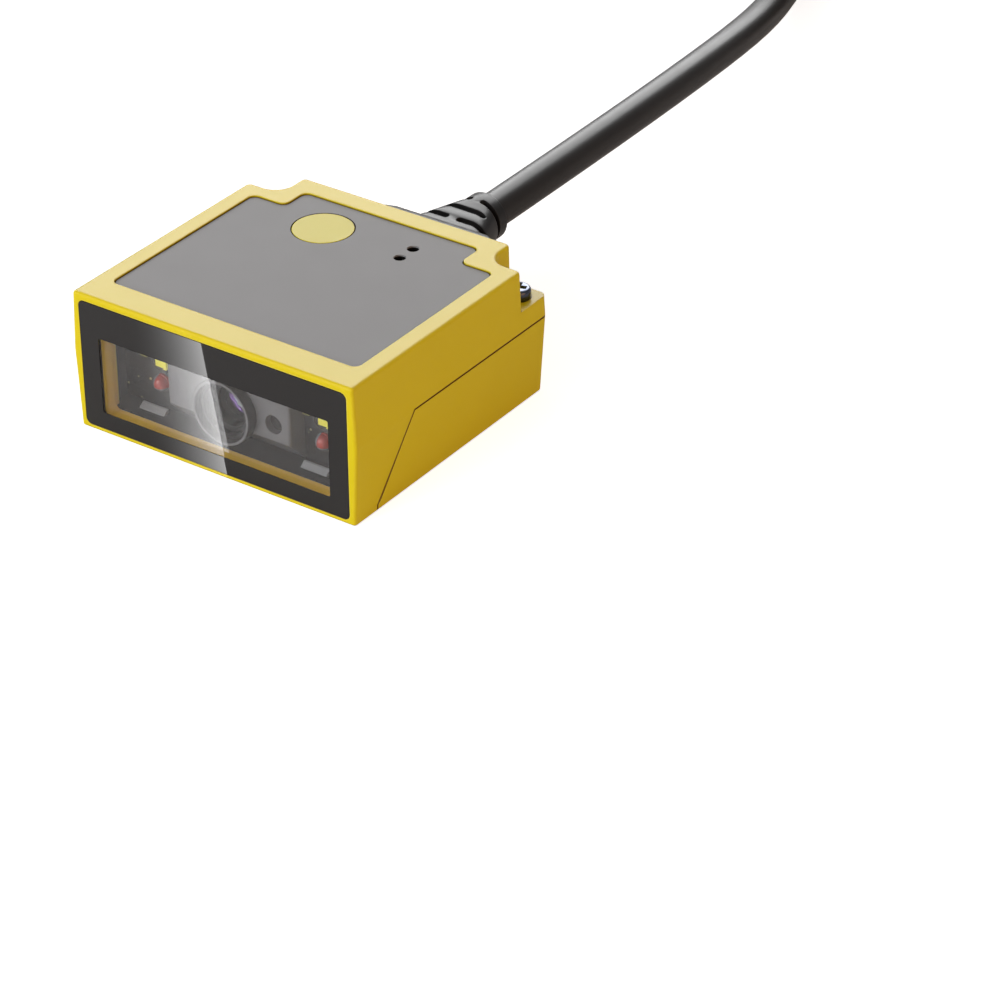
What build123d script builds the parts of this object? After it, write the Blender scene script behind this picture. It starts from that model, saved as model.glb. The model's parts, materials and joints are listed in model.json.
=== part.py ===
from build123d import *
import math
import os

os.makedirs("parts", exist_ok=True)

# A fixed barcode reader. X runs across the window, Y from the window (-Y) to the cable (+Y)
# and Z up. The origin is at the middle of the underside of the housing. Sizes are in mm.

# Housing, moulded as two shells
body_width = 50.0
body_depth = 46.4
body_height = 21.9
parting_height = 12.4
top_draft = 0.45
bottom_draft = 0.55
rear_top_draft = 0.25
rear_bottom_draft = 0.5
rear_corner_radius = 1.2
front_corner_radius = 0.5
edge_radius = 0.5
base_edge_radius = 0.3
wall = 1.8
floor_thickness = 2.0
roof_thickness = 2.0
front_wall = 2.0
cavity_radius = 1.0
parting_gap = 0.15
fit_gap = 0.1

# The parting line is level as far as its bend, then runs down and forward to the underside.
# Its places are measured back from the front of the housing.
parting_bend_depth = 13.5
slope_foot_depth = 5.8
slope_foot_height = 1.5
seam_depth = 5.1
seam_height = 1.0

# Lip of the lower shell inside the wall of the upper one, and the hooks at its front edge
lip_thickness = 0.8
lip_height = 1.1
lip_root = 0.9
lip_pocket_gap = 0.6
lip_front_gap = 4.4
hook_width = 6.0
hook_spacing = 24.0
hook_reach = 1.1
hook_root = 1.5
hook_height = 0.8
hook_bottom = 0.5

# Screw pockets in the two rear corners
lug_height = 15.6
pocket_inset_x = 6.3
pocket_inset_y = 6.1
pocket_radius = 3.0
post_radius = 0.9

# Case screws, their threaded inserts and the posts that hold them
case_screw_radius = 1.0
case_screw_length = 8.0
case_screw_hole_radius = 1.2
case_head_radius = 2.0
case_head_height = 1.6
case_insert_radius = 1.6
case_insert_length = 4.0
thread_gap = 0.05
case_post_radius = 2.5

# Cross recess and rounding of every screw head, as shares of the head's own size
head_round_share = 0.2
cross_length_share = 1.5
cross_width_share = 0.5
cross_depth_share = 0.5

# Threaded inserts in the underside
mount_pitch_x = 38.0
mount_pitch_y = 20.0
mount_centre_y = 2.0
mount_insert_radius = 2.1
mount_insert_length = 4.0
mount_hole_radius = 1.25
mount_boss_radius = 3.0
mount_boss_height = 5.5

# Window: the pane, its black border and the opening behind it
pane_side_margin = 1.55
pane_top_margin = 1.15
pane_bottom = 0.75
pane_thickness = 1.1
pane_radius = 0.9
mask_thickness = 0.1
gasket_thickness = 0.15
gasket_inset = 0.3
clear_side_margin = 3.2
clear_height = 12.1
clear_bottom = 3.4
clear_radius = 0.3
reveal_side = 0.05
reveal_drop = 0.6
reveal_lift = 0.4
opening_radius = 1.0
reveal_rib_depth = 1.0
reveal_rib_width = 0.9
reveal_rib_setback = 0.25
reveal_rib_margin = 0.2

# Label in the roof, with its rear corners stepped in round the screw pockets
label_side_margin = 3.5
label_front_margin = 5.2
label_rear_margin = 4.0
label_notch_side = 9.4
label_notch_rear = 8.9
label_radius = 1.2
label_recess = 0.5
label_thickness = 0.25
label_gap = 0.15

# Main board, carried by four bosses under the roof
board_side_gap = 0.9
board_front_gap = 2.0
board_rear_margin = 3.6
board_thickness = 1.2
board_radius = 1.0
board_boss_length = 5.9
board_boss_inset_x = 2.4
board_boss_front_inset = 2.6
board_boss_rear_inset = 2.7
board_boss_radius = 2.0
small_screw_radius = 0.8
small_head_radius = 1.6
small_head_height = 1.1
small_screw_length = 4.0

# Scan key, and the switch under it
key_boss_offset = 6.7
key_rear_distance = 11.2
key_radius = 4.6
key_gap = 0.15
key_flange_radius = 5.6
key_flange_thickness = 0.7
key_flange_gap = 0.2
key_stem_radius = 1.5
key_travel = 0.4
key_edge_radius = 0.1
switch_size = 6.0
switch_height = 3.4
plunger_radius = 1.7
plunger_stand = 0.8
plunger_depth = 0.6
switch_corner_radius = 0.4

# Indicators
indicator_boss_offset = 6.0
indicator_rear_distance = 10.6
indicator_pitch = 3.25
indicator_hole_radius = 0.92
light_pipe_radius = 0.8
light_pipe_sink = 0.7
light_pipe_bridge = 3.0
light_pipe_bridge_thickness = 1.0
chip_led_length = 1.6
chip_led_width = 0.8
chip_led_height = 0.6
light_pipe_gap = 0.25

# Other pieces on the main board
beeper_x = 6.8
beeper_y = 1.8
beeper_radius = 4.5
beeper_height = 4.2
beeper_port_radius = 0.9
beeper_port_depth = 1.0
beeper_edge_radius = 0.4
processor_boss_offset = 7.4
processor_y = 1.4
processor_size = 10.0
processor_height = 1.1
processor_edge = 0.2
header_width = 9.0
header_depth = 4.0
header_height = 3.6
header_wall = 0.6
header_rear_distance = 8.8
connector_reach = 2.4
wire_radius = 0.42
wire_pitch = 1.5
wire_bundle = 0.95
wire_bend_radius = 0.9

# Rear boss of the housing
boss_wall_width = 25.8
boss_rear_width = 25.0
boss_depth = 6.5
boss_bottom = 6.9
boss_top = 17.5
boss_draft = 0.2
boss_corner_radius = 2.0
boss_edge_radius = 1.4
boss_wall = 1.4

# Moulded strain relief
cable_height = 12.2
plate_width = 20.4
plate_height = 9.4
plate_thickness = 2.0
plate_edge_thickness = 0.8
plate_face_width = 18.4
plate_face_height = 8.4
plate_radius = 1.2
neck_width = 16.6
neck_height = 6.8
neck_radius = 1.0
flange_width = 19.6
flange_height = 7.4
flange_thickness = 2.0
boot_root_width = 14.6
boot_root_height = 6.6
boot_root_radius = 2.6
boot_end_radius = 3.85
boot_length = 11.6
boot_taper_power = 1.15
boot_side_flat = 0.1
boot_sections = 5
boot_collar_length = 1.8
boot_collar_round = 0.3
boot_slot_width = 1.2
boot_slot_pitch = 3.1
boot_first_slot = 2.9
boot_slot_depth = 0.7
boot_slot_length = 7.4
boot_web = 1.44
boot_mouth_depth = 0.6
boot_mouth_gap = 0.45

# Cable, its coil and its plug
cable_radius = 2.85
cable_bore_gap = 0.05
jacket_end_depth = 1.8
cable_first_bend = (0.0, 100.0)
cable_second_bend = (-14.7, 162.0)
coil_entry = (-39.4, 194.7)
cable_bend_share = 0.45
coil_radius = 29.0
coil_strands = 3
coil_layers = 2
strand_gap = 0.1
coil_edge_radius = 2.4
coil_stub_margin = 1.0
coil_step = 22.5
coil_steps = 92
tail_bend_share = 0.9
tail_run = 9.4
plug_width = 15.6
plug_height = 8.0
plug_length = 24.0
plug_radius = 1.6
plug_edge_radius = 0.8
plug_boot_length = 7.0
plug_boot_radius = 3.3
plug_boot_root_radius = 3.9
plug_shell_width = 12.0
plug_shell_height = 4.5
plug_shell_length = 12.0
plug_sheet = 0.3
plug_tongue_width = 10.8
plug_tongue_height = 1.9
plug_tongue_sink = 0.5
plug_contacts = 4
plug_contact_width = 1.0
plug_contact_pitch = 2.4
plug_contact_length = 7.0
plug_contact_thickness = 0.2
plug_latch_size = 2.2
plug_latch_spacing = 5.0

# Scan engine behind the window
engine_width = 21.7
engine_setback = 0.65
engine_depth = 10.2
engine_bottom = 3.2
engine_top = 14.2
engine_undercut = 3.3
engine_edge_radius = 0.4
ear_radius = 2.0
ear_height = 2.0
ear_root = 0.5
ear_screw_offset = 2.35
ear_boss_radius = 2.2
lens_height = 9.15
rim_radius = 5.05
rim_stand = 1.8
rim_bore_radius = 4.5
rim_edge = 0.1
barrel_radius = 4.2
barrel_depth = 7.2
baffle_step_depth = 1.3
baffle_step_radius = 3.9
baffle_throat_radius = 3.0
baffle_throat_depth = 2.2
lens_sink = 4.1
lens_radius = 2.4
lens_lip = 0.3
front_lens_thickness = 1.5
rear_lens_thickness = 1.2
lens_spacer_length = 1.0
lens_bulge = 0.35
front_bulge = 0.25
lens_ring = 0.5
retainer_length = 0.8
aimer_inset = 2.85
aimer_radius = 1.45
aimer_lens_sink = 0.8
aimer_lens_thickness = 1.3
aimer_bulge = 0.3
aimer_lens_rim = 0.1
aimer_bore_radius = 1.0
sensor_pocket_width = 11.0
sensor_pocket_height = 8.0
sensor_width = 6.6
sensor_height = 5.4
sensor_thickness = 1.0
sensor_pocket_depth = 1.5
sensor_throat_radius = 3.2
engine_board_thickness = 1.0
engine_screw_inset = 1.95
engine_screw_drop = 4.3
engine_connector_width = 9.0
engine_connector_height = 2.4
engine_connector_depth = 1.0
board_connector_inset = 1.0
flex_width = 7.0
flex_thickness = 0.2
flex_bend_radius = 1.0
flex_rise = 1.9

# Lighting on both sides of the engine
lamp_board_thickness = 1.0
lamp_board_setback = 3.3
lamp_board_margin = 0.2
lamp_offset = 3.65
lamp_height = 10.7
lamp_width = 3.0
lamp_rise = 3.0
lamp_lens_radius = 1.2
lamp_lens_depth = 0.3
lamp_corner_radius = 0.2
lamp_thickness = 0.95
side_lamp_offset = 2.9
side_lamp_thickness = 0.6
side_lamp_size = 1.2
side_lamp_lift = 0.5
dome_drop = 3.6
dome_radius = 1.25
dome_base_radius = 1.4
dome_base_thickness = 0.4
reflector_offset = 0.7
reflector_width = 4.5
reflector_setback = 1.2
reflector_board_gap = 1.0
reflector_run = 0.8
reflector_rise = 0.6
reflector_lip = 0.15
shroud_side_gap = 0.8
shroud_floor_gap = 0.2
shroud_roof_gap = 0.3
shroud_front_gap = 0.15
shroud_side = 0.9
shroud_back = 1.0
shroud_base = 0.6
shroud_lid = 0.9
shroud_engine_gap = 0.3

# Levels and places that follow from the sizes above
front_y = -body_depth / 2
rear_y = body_depth / 2
roof_z = body_height - roof_thickness
parting_bend_y = front_y + parting_bend_depth
slope_foot_y = front_y + slope_foot_depth
seam_y = front_y + seam_depth
pane_width = body_width - 2 * pane_side_margin
pane_height = body_height - pane_bottom - pane_top_margin
pane_front_y = front_y + mask_thickness
pane_back_y = pane_front_y + pane_thickness
window_seat_y = pane_back_y + gasket_thickness
window_wall_y = window_seat_y + front_wall
clear_width = pane_width - 2 * clear_side_margin
opening_width = clear_width - 2 * reveal_side
opening_height = clear_height + reveal_drop + reveal_lift
opening_bottom = clear_bottom - reveal_drop
pocket_x = body_width / 2 - pocket_inset_x
pocket_y = rear_y - pocket_inset_y
case_screw_x = pocket_x + pocket_radius
case_screw_y = pocket_y + pocket_radius
lip_rear_y = pocket_y - wall - lip_pocket_gap
lip_length = lip_rear_y - parting_bend_y - lip_front_gap
label_width = body_width - 2 * label_side_margin
label_front_y = front_y + label_front_margin
label_rear_y = rear_y - label_rear_margin
label_notch_x = body_width / 2 - label_notch_side
label_notch_y = rear_y - label_notch_rear
label_floor_z = body_height - label_recess
label_z = label_floor_z + label_thickness
engine_half = engine_width / 2
engine_face_y = window_wall_y + engine_setback
engine_back_y = engine_face_y + engine_depth
engine_board_back_y = engine_back_y + engine_board_thickness
engine_screw_x = engine_half - engine_screw_inset
ear_screw_x = engine_half + ear_screw_offset
ear_y = engine_back_y - ear_radius
rim_front_y = engine_face_y - rim_stand
barrel_back_y = engine_face_y + barrel_depth
lens_front_y = rim_front_y + lens_sink
aimer_x = engine_half - aimer_inset
aimer_seat_y = engine_face_y + aimer_lens_sink + aimer_lens_thickness
board_width = 2 * (pocket_x - wall - board_side_gap)
board_front_y = engine_board_back_y + board_front_gap
board_rear_y = rear_y - board_rear_margin
board_top_z = roof_z - board_boss_length
board_height = board_top_z - board_thickness
board_boss_x = board_width / 2 - board_boss_inset_x
board_boss_front_y = board_front_y + board_boss_front_inset
board_boss_rear_y = board_rear_y - board_boss_rear_inset
key_x = key_boss_offset - board_boss_x
key_y = rear_y - key_rear_distance
key_flange_z = roof_z - key_flange_gap
plunger_z = board_top_z + switch_height + plunger_stand
indicator_x = board_boss_x - indicator_boss_offset
indicator_y = rear_y - indicator_rear_distance
processor_x = processor_boss_offset - board_boss_x
header_front_y = rear_y - header_rear_distance
flex_z = board_height - engine_connector_depth / 2
engine_connector_bottom = flex_z - flex_rise - engine_connector_height
board_connector_front_y = board_front_y + board_connector_inset
shroud_width = body_width - 2 * (wall + shroud_side_gap)
shroud_bottom = floor_thickness + shroud_floor_gap
shroud_top = roof_z - shroud_roof_gap
lamp_board_face_y = engine_face_y + lamp_board_setback
lamp_board_back_y = lamp_board_face_y + lamp_board_thickness
lamp_board_bottom = shroud_bottom + shroud_base + lamp_board_margin
lamp_board_top = engine_top - lamp_board_margin
lamp_x = engine_half + lamp_offset
side_lamp_height = lamp_height + side_lamp_lift
dome_height = lamp_height - dome_drop
reflector_front_y = engine_face_y + reflector_setback
reflector_back_y = lamp_board_face_y - reflector_board_gap
shroud_back_y = lamp_board_back_y + shroud_back
jacket_end_y = rear_y + jacket_end_depth
boss_rear_y = rear_y + boss_depth
plate_rear_y = boss_rear_y + plate_thickness
boot_end_y = plate_rear_y + boot_length
boss_inner_y = boss_rear_y - boss_wall
flange_front_y = boss_inner_y - flange_thickness
cable_bore_radius = cable_radius + cable_bore_gap
strand_step = 2 * cable_radius + strand_gap
outer_strand_radius = coil_radius + (coil_strands - 1) * strand_step / 2
coil_outer_radius = outer_strand_radius + cable_radius + strand_gap
coil_height = 2 * cable_radius + (coil_layers - 1) * strand_step
coil_stub = math.sqrt((coil_outer_radius + cable_radius) ** 2 - outer_strand_radius**2)
coil_stub = coil_stub + coil_stub_margin
plug_axis_height = coil_height + plug_height / 2


def side_draft(z):
    """How far each side wall leans in at height z."""
    if z < parting_height:
        return bottom_draft * (parting_height - z) / parting_height
    return top_draft * (z - parting_height) / (body_height - parting_height)


def rear_draft(z):
    """How far the rear wall leans in at height z."""
    if z < parting_height:
        return rear_bottom_draft * (parting_height - z) / parting_height
    return rear_top_draft * (z - parting_height) / (body_height - parting_height)


def housing_section(z, inset=0.0, front=front_y, front_radius=front_corner_radius):
    """Level section of the housing at height z, inset from its outside."""
    half = body_width / 2 - side_draft(z) - inset
    rear = rear_y - rear_draft(z) - inset
    with BuildSketch(Plane.XY.offset(z)) as section:
        with Locations((0, (front + rear) / 2)):
            Rectangle(2 * half, rear - front)
        fillet(section.vertices().group_by(Axis.Y)[-1], rear_corner_radius)
        fillet(section.vertices().group_by(Axis.Y)[0], front_radius)
    return section.sketch


def cavity_section(z):
    """Level section of the space inside the walls at height z."""
    return housing_section(z, wall, window_wall_y, cavity_radius)


def corner_blocks(z, inset):
    """The two rear corner areas taken by the screw pockets, at height z, grown by inset."""
    with BuildSketch(Plane.XY.offset(z)) as blocks:
        for side in (-1, 1):
            with Locations((side * body_width / 2, rear_y)):
                Rectangle(2 * (pocket_inset_x + inset), 2 * (pocket_inset_y + inset))
        inner = blocks.vertices().group_by(Axis.Y)[0].sort_by(Axis.X)
        fillet(inner[1:3], pocket_radius + inset)
    return blocks.sketch


def below_parting(gap):
    """Side view of all that lies under the parting line, drawn back from it by gap."""
    low = -body_height
    far = boss_rear_y + body_depth
    with BuildSketch(Plane.YZ) as profile:
        with BuildLine():
            Polyline(
                (seam_y, low),
                (seam_y, seam_height),
                (slope_foot_y, slope_foot_height),
                (parting_bend_y, parting_height),
                (far, parting_height),
                (far, low),
                close=True,
            )
        make_face()
        if gap > 0:
            offset(amount=-gap, kind=Kind.INTERSECTION)
    return profile.sketch


def facing_front(y):
    """Plane square to Y at y, looking forward: its X is X and its Y is up."""
    return Plane.XZ.offset(-y)


def window_rectangle(width, height, bottom, radius, y):
    """Upright rounded rectangle in the plane at y, centred on the housing, from bottom up."""
    with BuildSketch(facing_front(y)) as shape:
        with Locations((0, bottom + height / 2)):
            RectangleRounded(width, height, radius)
    return shape.sketch


def boss_section(y, width, low, high, radius):
    """Upright section of the rear boss in the plane at y."""
    with BuildSketch(facing_front(y)) as section:
        with Locations((0, (low + high) / 2)):
            RectangleRounded(width, high - low, radius)
    return section.sketch


def relief_section(y, width, height, radius):
    """Upright section of the strain relief in the plane at y, centred on the cable."""
    with BuildSketch(facing_front(y)) as section:
        with Locations((0, cable_height)):
            RectangleRounded(width, height, radius)
    return section.sketch


def boot_half_width(distance):
    """Half the width of the boot at this distance behind the plate."""
    left = 1 - distance / (boot_length - boot_collar_length)
    return boot_end_radius + (boot_root_width / 2 - boot_end_radius) * left**boot_taper_power


def boot_half_height(distance):
    """Half the height of the boot at this distance behind the plate."""
    share = distance / (boot_length - boot_collar_length)
    return boot_root_height / 2 + (boot_end_radius - boot_root_height / 2) * share


def boot_corner(distance):
    """Corner radius of the boot's section, which turns from a rounded oblong into a round."""
    share = distance / (boot_length - boot_collar_length)
    full = boot_half_height(distance) - boot_side_flat / 2
    return min(full, boot_root_radius + (boot_end_radius - boot_root_radius) * share)


def label_outline(grow):
    """Outline of the label, grown by this much, with its rear corners stepped in."""
    half = label_width / 2 + grow
    front = label_front_y - grow
    rear = label_rear_y + grow
    step_x = label_notch_x + grow
    step_y = label_notch_y + grow
    with BuildSketch(Plane.XY.offset(label_floor_z)) as outline:
        with BuildLine():
            Polyline(
                (-half, front),
                (half, front),
                (half, step_y),
                (step_x, step_y),
                (step_x, rear),
                (-step_x, rear),
                (-step_x, step_y),
                (-half, step_y),
                close=True,
            )
        make_face()
        fillet(outline.vertices(), label_radius)
    return outline.sketch


def pan_head_screw(seat, radius, length, head_radius, head_height):
    """Screw with its head on the plane seat, its shank on the other side, and a cross in its head."""
    axis = Axis(seat.origin, seat.z_dir)
    with BuildPart() as screw:
        with BuildSketch(seat):
            Circle(head_radius)
        extrude(amount=head_height)
        fillet(screw.edges().sort_by(axis)[-1], head_height * head_round_share)
        with BuildSketch(seat.offset(head_height)):
            Rectangle(head_radius * cross_length_share, head_radius * cross_width_share)
            Rectangle(head_radius * cross_width_share, head_radius * cross_length_share)
        extrude(amount=-head_height * cross_depth_share, mode=Mode.SUBTRACT)
        with BuildSketch(seat):
            Circle(radius)
        extrude(amount=-length)
    return screw.part


def level(x, y, z):
    """Level plane with its origin at this point."""
    return Plane(origin=(x, y, z), x_dir=(1, 0, 0), z_dir=(0, 0, 1))


case_screw_places = [(-case_screw_x, case_screw_y), (case_screw_x, case_screw_y)]
board_boss_places = [
    (side * board_boss_x, y) for side in (-1, 1) for y in (board_boss_front_y, board_boss_rear_y)
]
mount_places = [
    (side * mount_pitch_x / 2, mount_centre_y + end * mount_pitch_y / 2)
    for side in (-1, 1)
    for end in (-1, 1)
]
engine_screw_places = [
    (side * engine_screw_x, lens_height - engine_screw_drop) for side in (-1, 1)
]
ear_places = [(-ear_screw_x, ear_y), (ear_screw_x, ear_y)]
indicator_places = [
    (indicator_x, indicator_y - indicator_pitch / 2),
    (indicator_x, indicator_y + indicator_pitch / 2),
]


# The closed housing, solid: drafted walls, screw pockets and the rear boss
with BuildPart() as housing:
    loft([housing_section(0), housing_section(parting_height)])
    loft([housing_section(parting_height), housing_section(body_height)])
    extrude(corner_blocks(lug_height, 0), amount=body_height, mode=Mode.SUBTRACT)
    upright = housing.edges().filter_by(lambda edge: abs(edge.tangent_at(0.5).Z) > 0.9)
    pocket_edges = upright.filter_by_position(Axis.Z, lug_height, body_height)
    fillet(pocket_edges.filter_by(lambda edge: abs(edge.center().X) > case_screw_x + fit_gap
           and abs(edge.center().Y - pocket_y) < fit_gap), post_radius)
    upright = housing.edges().filter_by(lambda edge: abs(edge.tangent_at(0.5).Z) > 0.9)
    pocket_edges = upright.filter_by_position(Axis.Z, lug_height, body_height)
    fillet(pocket_edges.filter_by(lambda edge: edge.center().Y > case_screw_y + fit_gap
           and abs(abs(edge.center().X) - pocket_x) < fit_gap), post_radius)
    fillet(housing.faces().sort_by(Axis.Z)[-1].edges(), edge_radius)
    fillet(housing.faces().sort_by(Axis.Z)[0].edges(), base_edge_radius)
    loft(
        [
            boss_section(
                rear_y - wall / 2,
                boss_wall_width,
                boss_bottom - boss_draft,
                boss_top + boss_draft,
                boss_corner_radius,
            ),
            boss_section(boss_rear_y, boss_rear_width, boss_bottom, boss_top, boss_corner_radius),
        ]
    )
    fillet(housing.faces().sort_by(Axis.Y)[-1].edges(), boss_edge_radius)

# The space inside both shells
with BuildPart() as interior:
    loft([cavity_section(floor_thickness), cavity_section(parting_height)])
    loft([cavity_section(parting_height), cavity_section(roof_z)])
    extrude(corner_blocks(parting_height, wall), amount=body_height, mode=Mode.SUBTRACT)
    with BuildSketch(facing_front(boss_inner_y)):
        with Locations((0, (boss_bottom + boss_top) / 2)):
            RectangleRounded(
                boss_rear_width - 2 * boss_wall,
                boss_top - boss_bottom - 2 * boss_wall,
                boss_corner_radius,
            )
    extrude(amount=boss_inner_y - rear_y + 2 * wall)
    with BuildSketch(facing_front(boss_rear_y + fit_gap)):
        with Locations((0, cable_height)):
            RectangleRounded(neck_width + 2 * fit_gap, neck_height + 2 * fit_gap, neck_radius)
    extrude(amount=boss_wall + wall)

# Upper shell: roof, front frame and the upper part of every wall
with BuildPart() as upper_shell:
    add(housing.part)
    extrude(below_parting(0), amount=body_width, both=True, mode=Mode.SUBTRACT)
    add(interior.part, mode=Mode.SUBTRACT)
    extrude(
        window_rectangle(
            pane_width + 2 * fit_gap,
            pane_height + 2 * fit_gap,
            pane_bottom - fit_gap,
            pane_radius + fit_gap,
            window_seat_y,
        ),
        amount=window_seat_y - front_y + fit_gap,
        mode=Mode.SUBTRACT,
    )
    extrude(
        window_rectangle(
            opening_width, opening_height, opening_bottom, opening_radius, window_wall_y + fit_gap
        ),
        amount=front_wall + 2 * fit_gap,
        mode=Mode.SUBTRACT,
    )
    with BuildSketch(facing_front(window_wall_y + reveal_rib_depth)):
        for side in (-1, 1):
            rib_x = opening_width / 2 + reveal_rib_setback + reveal_rib_width / 2
            with Locations((side * rib_x, opening_bottom + opening_height / 2)):
                Rectangle(reveal_rib_width, opening_height - 2 * reveal_rib_margin)
    extrude(amount=reveal_rib_depth + front_wall / 2)
    extrude(label_outline(label_gap), amount=label_recess + fit_gap, mode=Mode.SUBTRACT)
    with BuildSketch(Plane.XY.offset(roof_z)):
        with Locations((key_x, key_y)):
            Circle(key_radius + key_gap)
        with Locations(indicator_places):
            Circle(indicator_hole_radius)
    extrude(amount=roof_thickness, mode=Mode.SUBTRACT)
    with BuildSketch(Plane.XY.offset(board_top_z)):
        with Locations(board_boss_places):
            Circle(board_boss_radius)
    extrude(amount=roof_z - board_top_z + fit_gap)
    with BuildSketch(Plane.XY.offset(board_top_z)):
        with Locations(board_boss_places):
            Circle(small_screw_radius)
    extrude(amount=small_screw_length - board_thickness + fit_gap, mode=Mode.SUBTRACT)
    with BuildSketch(Plane.XY.offset(parting_height)):
        with Locations(case_screw_places):
            Circle(case_screw_hole_radius)
    extrude(amount=lug_height - parting_height, mode=Mode.SUBTRACT)
    with BuildSketch(Plane.XY.offset(hook_bottom - fit_gap)):
        for side in (-1, 1):
            with Locations((side * hook_spacing / 2, seam_y)):
                Rectangle(hook_width + 2 * fit_gap, 2 * (hook_reach + fit_gap))
    extrude(amount=hook_height + 2 * fit_gap, mode=Mode.SUBTRACT)
upper_shell.part.label = "upper_shell"
export_step(upper_shell.part, "parts/upper_shell.step")

# Lower shell: floor, posts for the inserts, lip and hooks
with BuildPart() as lower_shell:
    add(housing.part)
    extrude(below_parting(parting_gap), amount=body_width, both=True, mode=Mode.INTERSECT)
    add(interior.part, mode=Mode.SUBTRACT)
    with BuildSketch(Plane.XY.offset(floor_thickness / 2)):
        with Locations(case_screw_places):
            Circle(case_post_radius)
    extrude(amount=parting_height - parting_gap - floor_thickness / 2)
    with BuildSketch(Plane.XY.offset(parting_height - parting_gap)):
        with Locations(case_screw_places):
            Circle(case_insert_radius)
    extrude(amount=-case_insert_length, mode=Mode.SUBTRACT)
    with BuildSketch(Plane.XY.offset(parting_height)):
        with Locations(case_screw_places):
            Circle(case_screw_hole_radius)
    extrude(amount=lug_height - parting_height - case_screw_length - fit_gap, mode=Mode.SUBTRACT)
    with BuildSketch(Plane.XY.offset(floor_thickness / 2)):
        with Locations(mount_places):
            Circle(mount_boss_radius)
    extrude(amount=mount_boss_height - floor_thickness / 2)
    with BuildSketch(Plane.XY):
        with Locations(mount_places):
            Circle(mount_insert_radius)
    extrude(amount=mount_insert_length, mode=Mode.SUBTRACT)
    with BuildSketch(Plane.XY.offset(floor_thickness / 2)):
        with Locations(ear_places):
            Circle(ear_boss_radius)
    extrude(amount=engine_bottom - floor_thickness / 2)
    with BuildSketch(Plane.XY.offset(engine_bottom)):
        with Locations(ear_places):
            Circle(small_screw_radius)
    extrude(amount=ear_height - small_screw_length - fit_gap, mode=Mode.SUBTRACT)
    with BuildSketch(Plane.XY.offset(parting_height - lip_root)):
        for side in (-1, 1):
            lip_x = body_width / 2 - wall - fit_gap - lip_thickness / 2
            with Locations((side * lip_x, lip_rear_y - lip_length / 2)):
                Rectangle(lip_thickness, lip_length)
    extrude(amount=lip_root + lip_height)
    with BuildSketch(Plane.XY.offset(parting_height - lip_root)):
        for side in (-1, 1):
            root_x = body_width / 2 - wall - lip_thickness / 2
            with Locations((side * root_x, lip_rear_y - lip_length / 2)):
                Rectangle(2 * lip_thickness, lip_length)
    extrude(amount=lip_root - parting_gap)
    with BuildSketch(Plane.XY.offset(hook_bottom)):
        for side in (-1, 1):
            hook_y = seam_y + (hook_root - hook_reach) / 2
            with Locations((side * hook_spacing / 2, hook_y)):
                Rectangle(hook_width, hook_reach + hook_root)
    extrude(amount=hook_height)
lower_shell.part.label = "lower_shell"
export_step(lower_shell.part, "parts/lower_shell.step")

# Clear window pane, in its recess in the front of the upper shell
with BuildPart() as window_pane:
    extrude(
        window_rectangle(pane_width, pane_height, pane_bottom, pane_radius, pane_back_y),
        amount=pane_thickness,
    )
window_pane.part.label = "window_pane"
export_step(window_pane.part, "parts/window_pane.step")

# Black printed border on the front of the pane
with BuildPart() as window_mask:
    extrude(
        window_rectangle(pane_width, pane_height, pane_bottom, pane_radius, pane_front_y),
        amount=mask_thickness,
    )
    extrude(
        window_rectangle(clear_width, clear_height, clear_bottom, clear_radius, pane_front_y),
        amount=mask_thickness,
        mode=Mode.SUBTRACT,
    )
window_mask.part.label = "window_mask"
export_step(window_mask.part, "parts/window_mask.step")

# Thin sealing frame between the pane and its seat
with BuildPart() as window_gasket:
    extrude(
        window_rectangle(
            pane_width - 2 * gasket_inset,
            pane_height - 2 * gasket_inset,
            pane_bottom + gasket_inset,
            pane_radius,
            window_seat_y,
        ),
        amount=gasket_thickness,
    )
    extrude(
        window_rectangle(
            opening_width + 2 * gasket_inset,
            opening_height + 2 * gasket_inset,
            opening_bottom - gasket_inset,
            opening_radius,
            window_seat_y,
        ),
        amount=gasket_thickness,
        mode=Mode.SUBTRACT,
    )
window_gasket.part.label = "window_gasket"
export_step(window_gasket.part, "parts/window_gasket.step")

# Label in the roof, round the key and the two indicator windows
with BuildPart() as top_label:
    extrude(label_outline(0), amount=label_thickness)
    with BuildSketch(Plane.XY.offset(label_floor_z)):
        with Locations((key_x, key_y)):
            Circle(key_radius + key_gap)
        with Locations(indicator_places):
            Circle(indicator_hole_radius)
    extrude(amount=label_thickness, mode=Mode.SUBTRACT)
top_label.part.label = "top_label"
export_step(top_label.part, "parts/top_label.step")

# Scan key: a flush disc with a flange under the roof and a stem down to the switch
with BuildPart() as scan_key:
    with BuildSketch(Plane.XY.offset(key_flange_z)):
        with Locations((key_x, key_y)):
            Circle(key_radius)
    extrude(amount=label_z - key_flange_z)
    fillet(scan_key.edges().sort_by(Axis.Z)[-1], key_edge_radius)
    with BuildSketch(Plane.XY.offset(key_flange_z)):
        with Locations((key_x, key_y)):
            Circle(key_flange_radius)
    extrude(amount=-key_flange_thickness)
    with BuildSketch(Plane.XY.offset(key_flange_z - key_flange_thickness)):
        with Locations((key_x, key_y)):
            Circle(key_stem_radius)
    extrude(amount=plunger_z - key_flange_z + key_flange_thickness)
scan_key.part.label = "scan_key"
export_step(scan_key.part, "parts/scan_key.step")

# Moving plunger of the switch
with BuildPart() as switch_plunger:
    with BuildSketch(Plane.XY.offset(plunger_z)):
        with Locations((key_x, key_y)):
            Circle(plunger_radius)
    extrude(amount=-plunger_stand - plunger_depth)
switch_plunger.part.label = "switch_plunger"
export_step(switch_plunger.part, "parts/switch_plunger.step")

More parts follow.
